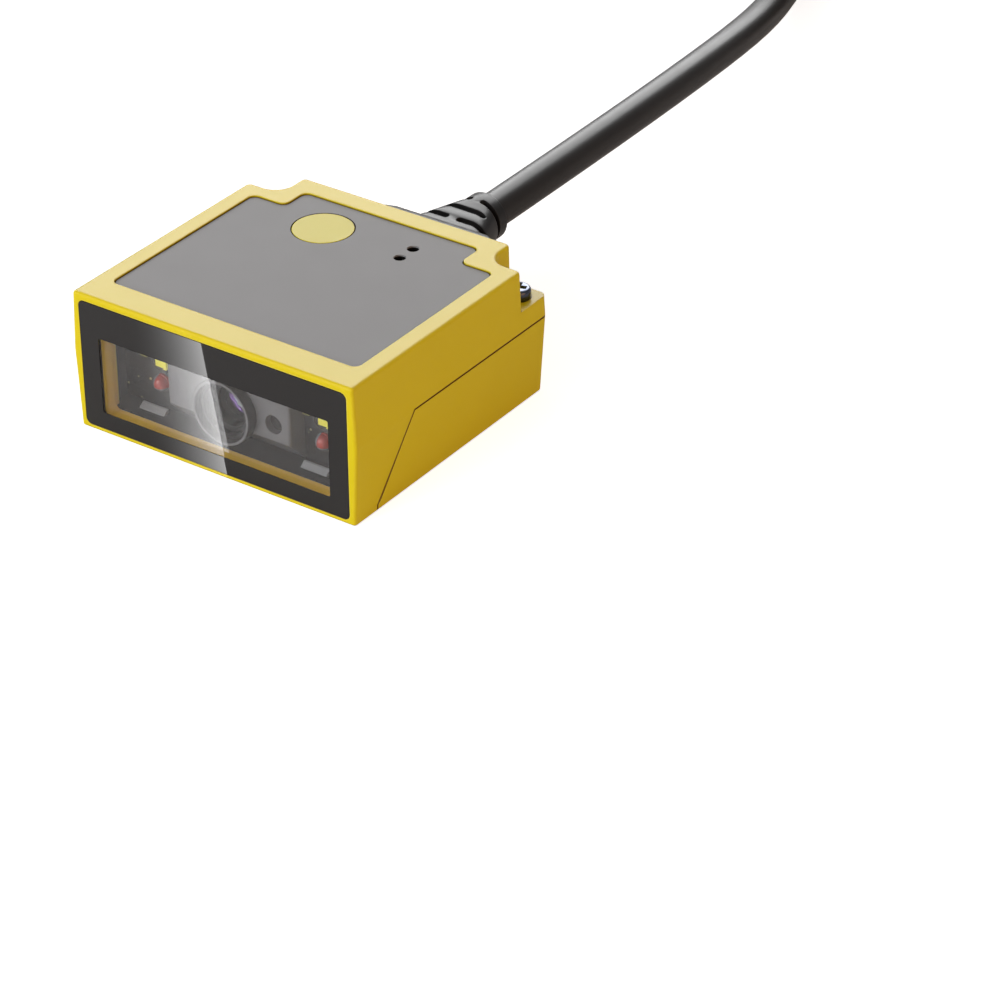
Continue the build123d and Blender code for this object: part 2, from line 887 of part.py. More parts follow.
# Switch under the key, with the well that its plunger moves in
with BuildPart() as key_switch:
    with BuildSketch(level(key_x, key_y, board_top_z)):
        Rectangle(switch_size, switch_size)
    extrude(amount=switch_height)
    fillet(key_switch.edges().filter_by(Axis.Z), switch_corner_radius)
    with BuildSketch(level(key_x, key_y, board_top_z + switch_height)):
        Circle(plunger_radius + fit_gap)
    extrude(amount=-plunger_depth - key_travel - fit_gap, mode=Mode.SUBTRACT)
key_switch.part.label = "key_switch"
export_step(key_switch.part, "parts/key_switch.step")

# Main board, screwed up against the four bosses under the roof
with BuildPart() as main_board:
    with BuildSketch(Plane.XY.offset(board_height)):
        with Locations((0, (board_front_y + board_rear_y) / 2)):
            RectangleRounded(board_width, board_rear_y - board_front_y, board_radius)
        with Locations(board_boss_places):
            Circle(small_screw_radius + fit_gap, mode=Mode.SUBTRACT)
    extrude(amount=board_thickness)
main_board.part.label = "main_board"
export_step(main_board.part, "parts/main_board.step")

with BuildPart() as board_screws:
    for x, y in board_boss_places:
        under = Plane(origin=(x, y, board_height), x_dir=(1, 0, 0), z_dir=(0, 0, -1))
        add(
            pan_head_screw(
                under, small_screw_radius, small_screw_length, small_head_radius, small_head_height
            )
        )
board_screws.part.label = "board_screws"
export_step(board_screws.part, "parts/board_screws.step")

# Light pipe: two pins up into the roof, joined by a bridge against its underside
with BuildPart() as light_pipe:
    pipe_foot_z = board_top_z + chip_led_height + light_pipe_gap
    with BuildSketch(Plane.XY.offset(pipe_foot_z)):
        with Locations(indicator_places):
            Circle(light_pipe_radius)
    extrude(amount=label_z - light_pipe_sink - pipe_foot_z)
    with BuildSketch(Plane.XY.offset(roof_z - light_pipe_bridge_thickness)):
        with Locations((indicator_x, indicator_y)):
            RectangleRounded(
                light_pipe_bridge, indicator_pitch + light_pipe_bridge, light_pipe_radius
            )
    extrude(amount=light_pipe_bridge_thickness)
light_pipe.part.label = "light_pipe"
export_step(light_pipe.part, "parts/light_pipe.step")

with BuildPart() as indicator_leds:
    with BuildSketch(Plane.XY.offset(board_top_z)):
        with Locations(indicator_places):
            Rectangle(chip_led_length, chip_led_width)
    extrude(amount=chip_led_height)
indicator_leds.part.label = "indicator_leds"
export_step(indicator_leds.part, "parts/indicator_leds.step")

# Beeper
with BuildPart() as beeper:
    with BuildSketch(level(beeper_x, beeper_y, board_top_z)):
        Circle(beeper_radius)
    extrude(amount=beeper_height)
    fillet(beeper.edges().sort_by(Axis.Z)[-1], beeper_edge_radius)
    with BuildSketch(level(beeper_x, beeper_y, board_top_z + beeper_height)):
        Circle(beeper_port_radius)
    extrude(amount=-beeper_port_depth, mode=Mode.SUBTRACT)
beeper.part.label = "beeper"
export_step(beeper.part, "parts/beeper.step")

# Processor package
with BuildPart() as processor:
    with BuildSketch(level(processor_x, processor_y, board_top_z)):
        Rectangle(processor_size, processor_size)
    extrude(amount=processor_height)
    chamfer(processor.faces().sort_by(Axis.Z)[-1].edges(), processor_edge)
processor.part.label = "processor"
export_step(processor.part, "parts/processor.step")

# Header under the board for the cable, open to the rear
with BuildPart() as cable_header:
    with BuildSketch(facing_front(header_front_y + header_depth)):
        with Locations((0, board_height - header_height / 2)):
            Rectangle(header_width, header_height)
    extrude(amount=header_depth)
    with BuildSketch(facing_front(header_front_y + header_depth)):
        with Locations((0, board_height - header_height / 2)):
            Rectangle(header_width - 2 * header_wall, header_height - 2 * header_wall)
    extrude(amount=header_depth - header_wall, mode=Mode.SUBTRACT)
cable_header.part.label = "cable_header"
export_step(cable_header.part, "parts/cable_header.step")

connector_rear_y = header_front_y + header_depth + connector_reach
with BuildPart() as cable_connector:
    with BuildSketch(facing_front(connector_rear_y)):
        with Locations((0, board_height - header_height / 2)):
            Rectangle(
                header_width - 2 * header_wall - 2 * fit_gap,
                header_height - 2 * header_wall - 2 * fit_gap,
            )
    extrude(amount=connector_reach + header_depth - header_wall - fit_gap)
cable_connector.part.label = "cable_connector"
export_step(cable_connector.part, "parts/cable_connector.step")

# Four cores from the connector to the end of the jacket
with BuildPart() as cable_cores:
    for side in (-1, 1):
        for row in (-1, 1):
            core_x = side * wire_pitch * (2 - row) / 2
            core_z = board_height - header_height / 2
            run = (jacket_end_y - connector_rear_y) / 4
            with BuildLine() as core_path:
                FilletPolyline(
                    (core_x, connector_rear_y, core_z),
                    (core_x, connector_rear_y + run, core_z),
                    (side * wire_bundle, jacket_end_y - run, cable_height + row * wire_bundle),
                    (side * wire_bundle, jacket_end_y, cable_height + row * wire_bundle),
                    radius=wire_bend_radius,
                )
            with BuildSketch(facing_front(connector_rear_y)):
                with Locations((core_x, core_z)):
                    Circle(wire_radius)
            sweep(path=core_path.line)
cable_cores.part.label = "cable_cores"
export_step(cable_cores.part, "parts/cable_cores.step")

# Case screws down through the lugs, and their inserts in the posts
for name, (x, y) in zip(("left", "right"), case_screw_places):
    with BuildPart() as case_screw:
        add(
            pan_head_screw(
                level(x, y, lug_height),
                case_screw_radius,
                case_screw_length,
                case_head_radius,
                case_head_height,
            )
        )
    case_screw.part.label = "case_screw_" + name
    export_step(case_screw.part, "parts/case_screw_" + name + ".step")

with BuildPart() as case_inserts:
    with BuildSketch(Plane.XY.offset(parting_height - parting_gap)):
        with Locations(case_screw_places):
            Circle(case_insert_radius)
            Circle(case_screw_radius + thread_gap, mode=Mode.SUBTRACT)
    extrude(amount=-case_insert_length)
case_inserts.part.label = "case_inserts"
export_step(case_inserts.part, "parts/case_inserts.step")

with BuildPart() as mount_inserts:
    with BuildSketch(Plane.XY):
        with Locations(mount_places):
            Circle(mount_insert_radius)
            Circle(mount_hole_radius, mode=Mode.SUBTRACT)
    extrude(amount=mount_insert_length)
mount_inserts.part.label = "mount_inserts"
export_step(mount_inserts.part, "parts/mount_inserts.step")

# Strain relief: flange and neck held in the boss, plate behind it and the slotted boot
with BuildPart() as strain_relief:
    with BuildSketch(facing_front(boss_inner_y)):
        with Locations((0, cable_height)):
            RectangleRounded(flange_width, flange_height, neck_radius)
    extrude(amount=flange_thickness)
    extrude(relief_section(plate_rear_y, neck_width, neck_height, neck_radius),
            amount=plate_thickness + boss_wall)
    extrude(relief_section(boss_rear_y, plate_width, plate_height, plate_radius),
            amount=-plate_edge_thickness)
    loft(
        [
            relief_section(
                boss_rear_y + plate_edge_thickness, plate_width, plate_height, plate_radius
            ),
            relief_section(plate_rear_y, plate_face_width, plate_face_height, plate_radius),
        ]
    )
    boot_taper = boot_length - boot_collar_length
    stations = [boot_taper * i / (boot_sections - 1) for i in range(boot_sections)]
    loft(
        [
            relief_section(
                plate_rear_y + along,
                2 * boot_half_width(along),
                2 * boot_half_height(along),
                boot_corner(along),
            )
            for along in stations
        ]
    )
    with BuildSketch(facing_front(boot_end_y)):
        with Locations((0, cable_height)):
            Circle(boot_end_radius)
    extrude(amount=boot_collar_length)
    fillet(strain_relief.edges().sort_by(Axis.Y)[-1], boot_collar_round)
    for row in range(3):
        along = boot_first_slot + row * boot_slot_pitch
        with BuildSketch(facing_front(plate_rear_y + along + boot_slot_width / 2)):
            with Locations((0, cable_height)):
                if row == 1:
                    Rectangle(boot_slot_length, 4 * boot_end_radius)
                else:
                    Rectangle(2 * boot_root_width, 4 * boot_end_radius)
                    Rectangle(boot_web, 4 * boot_end_radius, mode=Mode.SUBTRACT)
                RectangleRounded(
                    2 * (boot_half_width(along) - boot_slot_depth),
                    2 * (boot_half_height(along) - boot_slot_depth),
                    boot_corner(along) - boot_slot_depth,
                    mode=Mode.SUBTRACT,
                )
        extrude(amount=boot_slot_width, mode=Mode.SUBTRACT)
    with BuildSketch(facing_front(boot_end_y)):
        with Locations((0, cable_height)):
            Circle(cable_radius + boot_mouth_gap)
    extrude(amount=boot_mouth_depth, mode=Mode.SUBTRACT)
    with BuildSketch(facing_front(boot_end_y)):
        with Locations((0, cable_height)):
            Circle(cable_bore_radius)
    extrude(amount=boot_end_y - flange_front_y, mode=Mode.SUBTRACT)
strain_relief.part.label = "strain_relief"
export_step(strain_relief.part, "parts/strain_relief.step")


def bend_radii(points, share):
    """Radius of the arc at each inner point, which takes this share of the shorter run."""
    radii = []
    for before, here, after in zip(points, points[1:], points[2:]):
        into = Vector(*here) - Vector(*before)
        out = Vector(*after) - Vector(*here)
        half_turn = math.radians(into.get_angle(out)) / 2
        radii.append(share * min(into.length, out.length) / math.tan(half_turn))
    return radii


def cable_tube(points, share):
    """Round tube along straight runs joined by tangent arcs; prints its radii and volume."""
    radii = bend_radii(points, share)
    with BuildPart() as tube:
        with BuildLine() as path:
            FilletPolyline(*points, radius=radii)
        start = Vector(*points[0])
        with BuildSketch(Plane(origin=start, z_dir=Vector(*points[1]) - start)):
            Circle(cable_radius)
        sweep(path=path.line)
    length = sum(edge.length for edge in path.line.edges())
    expected = math.pi * cable_radius**2 * length
    print("cable run", round(length, 2), "mm, bend radii", [round(r, 1) for r in radii])
    print("volume", round(tube.part.volume, 1), "expected", round(expected, 1))
    return tube.part


# The cable runs straight out of the relief, comes down to the surface and meets the coil
entry_run = Vector(*coil_entry) - Vector(*cable_second_bend)
entry_way = entry_run.normalized()
inward = Vector(entry_way.Y, -entry_way.X)
coil_centre = Vector(*coil_entry) + inward * outer_strand_radius
cable_end = Vector(*coil_entry) - entry_way * coil_stub
cable_points = [
    (0, jacket_end_y, cable_height),
    (*cable_first_bend, cable_height),
    (*cable_second_bend, cable_radius),
    (cable_end.X, cable_end.Y, cable_radius),
]
with BuildPart() as cable:
    add(cable_tube(cable_points, cable_bend_share))
cable.part.label = "cable"
export_step(cable.part, "parts/cable.step")


def strand_corner(steps, height):
    """Corner of the route on the outermost turn, this many steps clockwise from the entry."""
    spoke = (-inward).rotate(Axis.Z, -steps * coil_step)
    place = coil_centre + spoke * (outer_strand_radius / math.cos(math.radians(coil_step / 2)))
    return Vector(place.X, place.Y, height)


# The last steps of the cable climb from the upper layer onto the coil, where the plug lies
top_strand_height = coil_height - cable_radius
halfway_height = (top_strand_height + plug_axis_height) / 2
rise_corners = [
    strand_corner(coil_steps - 3.5, top_strand_height),
    strand_corner(coil_steps - 2.5, top_strand_height),
    strand_corner(coil_steps - 1.5, halfway_height),
    strand_corner(coil_steps - 0.5, plug_axis_height),
    strand_corner(coil_steps + 0.5, plug_axis_height),
]
rise_start = (rise_corners[0] + rise_corners[1]) / 2
rise_end = (rise_corners[3] + rise_corners[4]) / 2

# The coil as one ring of its outer shape, with the end that comes in and the one that climbs
with BuildPart() as cable_coil:
    with BuildSketch(Plane(origin=coil_centre, x_dir=(1, 0, 0), z_dir=(0, -1, 0))):
        with Locations((coil_radius, coil_height / 2)):
            RectangleRounded(
                2 * (coil_outer_radius - coil_radius), coil_height, coil_edge_radius
            )
    revolve(axis=Axis(coil_centre, (0, 0, 1)))
    entry = Vector(coil_entry[0], coil_entry[1], cable_radius)
    with BuildSketch(Plane(origin=entry, z_dir=entry_way)):
        Circle(cable_radius)
    extrude(amount=-coil_stub)
    add(cable_tube([rise_start, *rise_corners[1:4], rise_end], cable_bend_share))
cable_coil.part.label = "cable_coil"
export_step(cable_coil.part, "parts/cable_coil.step")

# The last stretch, across the top of the coil to the plug
plug_way = Vector(-1, 0, 0)
tail_end = rise_corners[4] + plug_way * tail_run
with BuildPart() as cable_tail:
    add(cable_tube([rise_end, rise_corners[4], tail_end], tail_bend_share))
cable_tail.part.label = "cable_tail"
export_step(cable_tail.part, "parts/cable_tail.step")

# Plug: moulded body with its sleeve, metal shell, tongue and contacts
plug_seat = Plane(origin=tail_end, x_dir=(-plug_way.Y, plug_way.X, 0), z_dir=plug_way)
body_seat = plug_seat.offset(plug_boot_length)
shell_seat = body_seat.offset(plug_length)
with BuildPart() as plug_body:
    with BuildSketch(body_seat):
        RectangleRounded(plug_width, plug_height, plug_radius)
    extrude(amount=plug_length)
    along_plug = Axis(plug_seat.origin, plug_seat.z_dir)
    fillet(plug_body.faces().sort_by(along_plug)[-1].edges(), plug_edge_radius)
    fillet(plug_body.faces().sort_by(along_plug)[0].edges(), plug_edge_radius)
    with BuildSketch(plug_seat) as sleeve_end:
        Circle(plug_boot_radius)
    with BuildSketch(body_seat.offset(plug_edge_radius)) as sleeve_root:
        Circle(plug_boot_root_radius)
    loft([sleeve_end.sketch, sleeve_root.sketch])
plug_body.part.label = "plug_body"
export_step(plug_body.part, "parts/plug_body.step")

with BuildPart() as plug_shell:
    with BuildSketch(shell_seat):
        RectangleRounded(plug_shell_width, plug_shell_height, 2 * plug_sheet)
        RectangleRounded(
            plug_shell_width - 2 * plug_sheet,
            plug_shell_height - 2 * plug_sheet,
            plug_sheet,
            mode=Mode.SUBTRACT,
        )
    extrude(amount=plug_shell_length)
    with BuildSketch(shell_seat.offset(plug_shell_length / 2)):
        for side in (-1, 1):
            with Locations((side * plug_latch_spacing / 2, 0)):
                Rectangle(plug_latch_size, 2 * plug_shell_height)
    extrude(amount=plug_latch_size, mode=Mode.SUBTRACT)
plug_shell.part.label = "plug_shell"
export_step(plug_shell.part, "parts/plug_shell.step")

tongue_y = plug_shell_height / 2 - plug_sheet - plug_tongue_height / 2
with BuildPart() as plug_tongue:
    with BuildSketch(shell_seat):
        with Locations((0, tongue_y)):
            Rectangle(plug_tongue_width, plug_tongue_height)
    extrude(amount=plug_shell_length - plug_tongue_sink)
plug_tongue.part.label = "plug_tongue"
export_step(plug_tongue.part, "parts/plug_tongue.step")

with BuildPart() as plug_contact_strips:
    with BuildSketch(shell_seat):
        with Locations((0, tongue_y - (plug_tongue_height + plug_contact_thickness) / 2)):
            with GridLocations(plug_contact_pitch, 1, plug_contacts, 1):
                Rectangle(plug_contact_width, plug_contact_thickness)
    extrude(amount=plug_contact_length)
plug_contact_strips.part.label = "plug_contacts"
export_step(plug_contact_strips.part, "parts/plug_contacts.step")

# Scan engine: a block with a hole for the lens barrel and one for the aiming light
with BuildPart() as engine_chassis:
    engine_middle = (engine_bottom + engine_top) / 2
    with BuildSketch(facing_front(engine_back_y)):
        with Locations((0, engine_middle)):
            Rectangle(engine_width, engine_top - engine_bottom)
    extrude(amount=engine_back_y - engine_face_y)
    front_edges = engine_chassis.faces().sort_by(Axis.Y)[0].edges().sort_by(Axis.Z)
    chamfer(front_edges[0], engine_undercut)
    fillet(engine_chassis.edges().filter_by(Axis.Z).group_by(Axis.Y)[0], engine_edge_radius)
    with BuildSketch(Plane.XY.offset(engine_bottom)):
        for side in (-1, 1):
            with Locations((side * (engine_half + (ear_screw_offset - ear_root) / 2), ear_y)):
                Rectangle(ear_screw_offset + ear_root, 2 * ear_radius)
        with Locations(ear_places):
            Circle(ear_radius)
    extrude(amount=ear_height)
    with BuildSketch(Plane.XY.offset(engine_bottom)):
        with Locations(ear_places):
            Circle(small_screw_radius + fit_gap)
    extrude(amount=ear_height, mode=Mode.SUBTRACT)
    with BuildSketch(facing_front(barrel_back_y)):
        with Locations((0, lens_height)):
            Circle(barrel_radius)
    extrude(amount=barrel_back_y - engine_face_y, mode=Mode.SUBTRACT)
    with BuildSketch(facing_front(engine_back_y)):
        with Locations((0, lens_height)):
            Circle(sensor_throat_radius)
    extrude(amount=engine_back_y - barrel_back_y, mode=Mode.SUBTRACT)
    with BuildSketch(facing_front(engine_back_y)):
        with Locations((0, lens_height)):
            Rectangle(sensor_pocket_width, sensor_pocket_height)
    extrude(amount=sensor_pocket_depth, mode=Mode.SUBTRACT)
    with BuildSketch(facing_front(engine_back_y)):
        with Locations((aimer_x, lens_height)):
            Circle(aimer_bore_radius)
    extrude(amount=engine_back_y - engine_face_y, mode=Mode.SUBTRACT)
    with BuildSketch(facing_front(aimer_seat_y)):
        with Locations((aimer_x, lens_height)):
            Circle(aimer_radius)
    extrude(amount=aimer_seat_y - engine_face_y, mode=Mode.SUBTRACT)
    with BuildSketch(facing_front(engine_back_y)):
        with Locations(engine_screw_places):
            Circle(small_screw_radius)
    extrude(amount=small_screw_length - engine_board_thickness + fit_gap, mode=Mode.SUBTRACT)
engine_chassis.part.label = "engine_chassis"
export_step(engine_chassis.part, "parts/engine_chassis.step")

with BuildPart() as ear_screws:
    for x, y in ear_places:
        add(
            pan_head_screw(
                level(x, y, engine_bottom + ear_height),
                small_screw_radius,
                small_screw_length,
                small_head_radius,
                small_head_height,
            )
        )
ear_screws.part.label = "ear_screws"
export_step(ear_screws.part, "parts/ear_screws.step")

# Lens barrel: front rim, two steps down to the lens seat, and a plain bore behind it
lens_axis = Axis((0, 0, lens_height), (0, 1, 0))
with BuildPart() as lens_barrel:
    with BuildSketch(Plane.YZ):
        with BuildLine():
            Polyline(
                (rim_front_y, lens_height + rim_bore_radius),
                (rim_front_y, lens_height + rim_radius),
                (engine_face_y, lens_height + rim_radius),
                (engine_face_y, lens_height + barrel_radius),
                (barrel_back_y, lens_height + barrel_radius),
                (barrel_back_y, lens_height + lens_radius),
                (lens_front_y, lens_height + lens_radius),
                (lens_front_y, lens_height + lens_radius - lens_lip),
                (lens_front_y - lens_lip, lens_height + lens_radius - lens_lip),
                (lens_front_y - lens_lip, lens_height + baffle_throat_radius),
                (rim_front_y + baffle_throat_depth, lens_height + baffle_throat_radius),
                (rim_front_y + baffle_throat_depth, lens_height + baffle_step_radius),
                (rim_front_y + baffle_step_depth, lens_height + baffle_step_radius),
                (rim_front_y + baffle_step_depth, lens_height + rim_bore_radius),
                close=True,
            )
        make_face()
    revolve(axis=lens_axis)
    chamfer(lens_barrel.edges().group_by(Axis.Y)[0], rim_edge)
lens_barrel.part.label = "lens_barrel"
export_step(lens_barrel.part, "parts/lens_barrel.step")


def bulged_lens(axis_x, flat_y, edge_y, radius, rim, bulge):
    """Lens, flat at flat_y, whose other side bulges out of a flat rim at edge_y."""
    dome = radius - rim
    out = math.copysign(bulge, edge_y - flat_y)
    with BuildPart() as lens:
        with BuildSketch(Plane.YZ.offset(axis_x)):
            with BuildLine():
                Line((flat_y, lens_height), (flat_y, lens_height + radius))
                Line((flat_y, lens_height + radius), (edge_y, lens_height + radius))
                Line((edge_y, lens_height + radius), (edge_y, lens_height + dome))
                RadiusArc(
                    (edge_y, lens_height + dome),
                    (edge_y + out, lens_height),
                    math.copysign((dome**2 + bulge**2) / (2 * bulge), out),
                )
                Line((edge_y + out, lens_height), (flat_y, lens_height))
            make_face()
        revolve(axis=Axis((axis_x, 0, lens_height), (0, 1, 0)))
    return lens.part


front_lens_back_y = lens_front_y + front_lens_thickness - lens_bulge
with BuildPart() as front_lens:
    add(bulged_lens(0, front_lens_back_y, lens_front_y, lens_radius, lens_lip, front_bulge))
front_lens.part.label = "front_lens"
export_step(front_lens.part, "parts/front_lens.step")

with BuildPart() as lens_spacer:
    with BuildSketch(facing_front(front_lens_back_y)):
        with Locations((0, lens_height)):
            Circle(lens_radius)
            Circle(lens_radius - lens_ring, mode=Mode.SUBTRACT)
    extrude(amount=-lens_spacer_length)
lens_spacer.part.label = "lens_spacer"
export_step(lens_spacer.part, "parts/lens_spacer.step")

rear_lens_front_y = front_lens_back_y + lens_spacer_length
rear_lens_back_y = rear_lens_front_y + rear_lens_thickness - lens_bulge
with BuildPart() as rear_lens:
    add(bulged_lens(0, rear_lens_front_y, rear_lens_back_y, lens_radius, lens_ring, lens_bulge))
rear_lens.part.label = "rear_lens"
export_step(rear_lens.part, "parts/rear_lens.step")

with BuildPart() as lens_retainer:
    with BuildSketch(facing_front(rear_lens_back_y)):
        with Locations((0, lens_height)):
            Circle(lens_radius)
            Circle(lens_radius - lens_ring, mode=Mode.SUBTRACT)
    extrude(amount=-retainer_length)
lens_retainer.part.label = "lens_retainer"
export_step(lens_retainer.part, "parts/lens_retainer.step")

with BuildPart() as aimer_lens:
    add(
        bulged_lens(
            aimer_x,
            aimer_seat_y,
            aimer_seat_y - aimer_lens_thickness + aimer_bulge,
            aimer_radius - fit_gap,
            aimer_lens_rim,
            aimer_bulge,
        )
    )
aimer_lens.part.label = "aimer_lens"
export_step(aimer_lens.part, "parts/aimer_lens.step")

with BuildPart() as aimer_led:
    with BuildSketch(facing_front(engine_back_y)):
        with Locations((aimer_x, lens_height)):
            Rectangle(chip_led_length, chip_led_width)
    extrude(amount=chip_led_height)
aimer_led.part.label = "aimer_led"
export_step(aimer_led.part, "parts/aimer_led.step")

with BuildPart() as image_sensor:
    with BuildSketch(facing_front(engine_back_y)):
        with Locations((0, lens_height)):
            Rectangle(sensor_width, sensor_height)
    extrude(amount=sensor_thickness)
image_sensor.part.label = "image_sensor"
export_step(image_sensor.part, "parts/image_sensor.step")

# Board on the back of the engine, with its screws, connectors and flexible cable
with BuildPart() as engine_board:
    with BuildSketch(facing_front(engine_board_back_y)):
        with Locations((0, engine_middle)):
            Rectangle(engine_width, engine_top - engine_bottom)
        with Locations(engine_screw_places):
            Circle(small_screw_radius + fit_gap, mode=Mode.SUBTRACT)
    extrude(amount=engine_board_thickness)
engine_board.part.label = "engine_board"
export_step(engine_board.part, "parts/engine_board.step")

with BuildPart() as engine_screws:
    for x, z in engine_screw_places:
        behind = Plane(origin=(x, engine_board_back_y, z), x_dir=(-1, 0, 0), z_dir=(0, 1, 0))
        add(
            pan_head_screw(
                behind, small_screw_radius, small_screw_length, small_head_radius, small_head_height
            )
        )
engine_screws.part.label = "engine_screws"
export_step(engine_screws.part, "parts/engine_screws.step")

flex_y = engine_board_back_y + engine_connector_depth / 2
with BuildPart() as flex_sockets:
    with BuildSketch(facing_front(engine_board_back_y)):
        with Locations((0, engine_connector_bottom + engine_connector_height / 2)):
            Rectangle(engine_connector_width, engine_connector_height)
    extrude(amount=-engine_connector_depth)
    with BuildSketch(Plane.XY.offset(board_height)):
        with Locations((0, board_connector_front_y + engine_connector_height / 2)):
            Rectangle(engine_connector_width, engine_connector_height)
    extrude(amount=-engine_connector_depth)
flex_sockets.part.label = "flex_sockets"
export_step(flex_sockets.part, "parts/flex_sockets.step")

with BuildPart() as engine_flex:
    with BuildSketch(Plane.YZ):
        with BuildLine():
            FilletPolyline(
                (flex_y, engine_connector_bottom + engine_connector_height),
                (flex_y, flex_z),
                (board_connector_front_y, flex_z),
                radius=flex_bend_radius,
            )
        trace(line_width=flex_thickness)
    extrude(amount=flex_width / 2, both=True)
engine_flex.part.label = "engine_flex"
export_step(engine_flex.part, "parts/engine_flex.step")

# Black shroud behind the window, open to the front and round the engine
with BuildPart() as light_shroud:
    shroud_middle = (shroud_bottom + shroud_top) / 2
    inner_bottom = shroud_bottom + shroud_base
    inner_top = shroud_top - shroud_lid
    with BuildSketch(facing_front(shroud_back_y)):
        with Locations((0, shroud_middle)):
            RectangleRounded(shroud_width, shroud_top - shroud_bottom, shroud_side)
    extrude(amount=shroud_back_y - window_wall_y - shroud_front_gap)
    with BuildSketch(facing_front(lamp_board_back_y)):
        with Locations((0, (inner_bottom + inner_top) / 2)):
            Rectangle(shroud_width - 2 * shroud_side, inner_top - inner_bottom)
    extrude(amount=body_depth, mode=Mode.SUBTRACT)
    with BuildSketch(facing_front(shroud_back_y)):
        with Locations((0, engine_middle)):
            Rectangle(
                engine_width + 2 * shroud_engine_gap,
                engine_top - engine_bottom + 2 * shroud_engine_gap,
            )
    extrude(amount=shroud_back, mode=Mode.SUBTRACT)
light_shroud.part.label = "light_shroud"
export_step(light_shroud.part, "parts/light_shroud.step")

# A small lighting board on each side of the engine
lamp_board_inner = engine_half + fit_gap
lamp_board_outer = shroud_width / 2 - shroud_side - fit_gap
lamp_places = [(-lamp_x, lamp_height), (lamp_x, lamp_height)]
for name, side in (("left", -1), ("right", 1)):
    with BuildPart() as lamp_board:
        with BuildSketch(facing_front(lamp_board_back_y)):
            with Locations(
                (
                    side * (lamp_board_inner + lamp_board_outer) / 2,
                    (lamp_board_bottom + lamp_board_top) / 2,
                )
            ):
                Rectangle(lamp_board_outer - lamp_board_inner, lamp_board_top - lamp_board_bottom)
        extrude(amount=lamp_board_thickness)
    lamp_board.part.label = "lamp_board_" + name
    export_step(lamp_board.part, "parts/lamp_board_" + name + ".step")

with BuildPart() as main_lamps:
    with BuildSketch(facing_front(lamp_board_face_y)):
        with Locations(lamp_places):
            RectangleRounded(lamp_width, lamp_rise, lamp_corner_radius)
    extrude(amount=lamp_thickness)
    with BuildSketch(facing_front(lamp_board_face_y - lamp_thickness)):
        with Locations(lamp_places):
            Circle(lamp_lens_radius)
    extrude(amount=-lamp_lens_depth, mode=Mode.SUBTRACT)
main_lamps.part.label = "main_lamps"
export_step(main_lamps.part, "parts/main_lamps.step")

with BuildPart() as side_lamps:
    with BuildSketch(facing_front(lamp_board_face_y)):
        with Locations([(x - side_lamp_offset, side_lamp_height) for x, z in lamp_places]):
            Rectangle(side_lamp_size, side_lamp_size)
    extrude(amount=side_lamp_thickness)
side_lamps.part.label = "side_lamps"
export_step(side_lamps.part, "parts/side_lamps.step")

# Red dome lamps under the main ones
with BuildPart() as red_lamps:
    with BuildSketch(facing_front(lamp_board_face_y)):
        with Locations([(x, dome_height) for x, z in lamp_places]):
            Circle(dome_base_radius)
    extrude(amount=dome_base_thickness)
    for x, z in lamp_places:
        with BuildSketch(Plane.YZ.offset(x)):
            with BuildLine():
                dome_y = lamp_board_face_y - dome_base_thickness
                Line((dome_y, dome_height), (dome_y, dome_height + dome_radius))
                CenterArc((dome_y, dome_height), dome_radius, 90, 90)
                Line((dome_y - dome_radius, dome_height), (dome_y, dome_height))
            make_face()
        revolve(axis=Axis((x, 0, dome_height), (0, 1, 0)))
red_lamps.part.label = "red_lamps"
export_step(red_lamps.part, "parts/red_lamps.step")

# Inclined white reflector strips on the floor of the shroud
with BuildPart() as reflectors:
    for x, z in lamp_places:
        with BuildSketch(Plane.YZ.offset(x - reflector_offset)):
            with BuildLine():
                Polyline(
                    (reflector_front_y, inner_bottom),
                    (reflector_front_y, inner_bottom + reflector_lip),
                    (
                        reflector_front_y + reflector_run,
                        inner_bottom + reflector_lip + reflector_rise,
                    ),
                    (reflector_back_y, inner_bottom + reflector_lip + reflector_rise),
                    (reflector_back_y, inner_bottom),
                    close=True,
                )
            make_face()
        extrude(amount=reflector_width / 2, both=True)
reflectors.part.label = "reflectors"
export_step(reflectors.part, "parts/reflectors.step")
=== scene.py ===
import json
import math

import bmesh
import bpy
from mathutils import Matrix, Vector


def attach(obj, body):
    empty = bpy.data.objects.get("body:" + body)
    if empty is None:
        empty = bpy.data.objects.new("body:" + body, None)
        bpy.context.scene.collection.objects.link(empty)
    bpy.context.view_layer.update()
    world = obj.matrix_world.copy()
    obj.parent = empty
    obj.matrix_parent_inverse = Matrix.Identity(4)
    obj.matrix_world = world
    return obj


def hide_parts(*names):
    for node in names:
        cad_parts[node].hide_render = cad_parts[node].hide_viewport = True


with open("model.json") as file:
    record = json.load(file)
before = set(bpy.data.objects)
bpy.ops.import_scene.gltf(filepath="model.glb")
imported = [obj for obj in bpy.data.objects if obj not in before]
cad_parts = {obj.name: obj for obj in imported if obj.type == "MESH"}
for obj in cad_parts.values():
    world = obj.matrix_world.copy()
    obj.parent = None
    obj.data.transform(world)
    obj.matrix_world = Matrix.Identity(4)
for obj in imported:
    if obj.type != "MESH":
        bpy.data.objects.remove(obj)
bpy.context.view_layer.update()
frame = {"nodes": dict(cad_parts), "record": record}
nodes = frame["nodes"]

# One millimetre in metres: the sizes and places below are in mm, unless a comment says otherwise
MM = 0.001
MM_PER_METRE = 1000.0

# Sizes of the reader that the pieces made here share with it
CABLE_RADIUS = 2.85
CABLE_HEIGHT = 12.2
STRAND_STEP = 5.8
COIL_RADIUS = 29.0
LUG_HEIGHT = 15.6
CASE_SCREW_X = 21.7
CASE_SCREW_Y = 20.1


# Camera

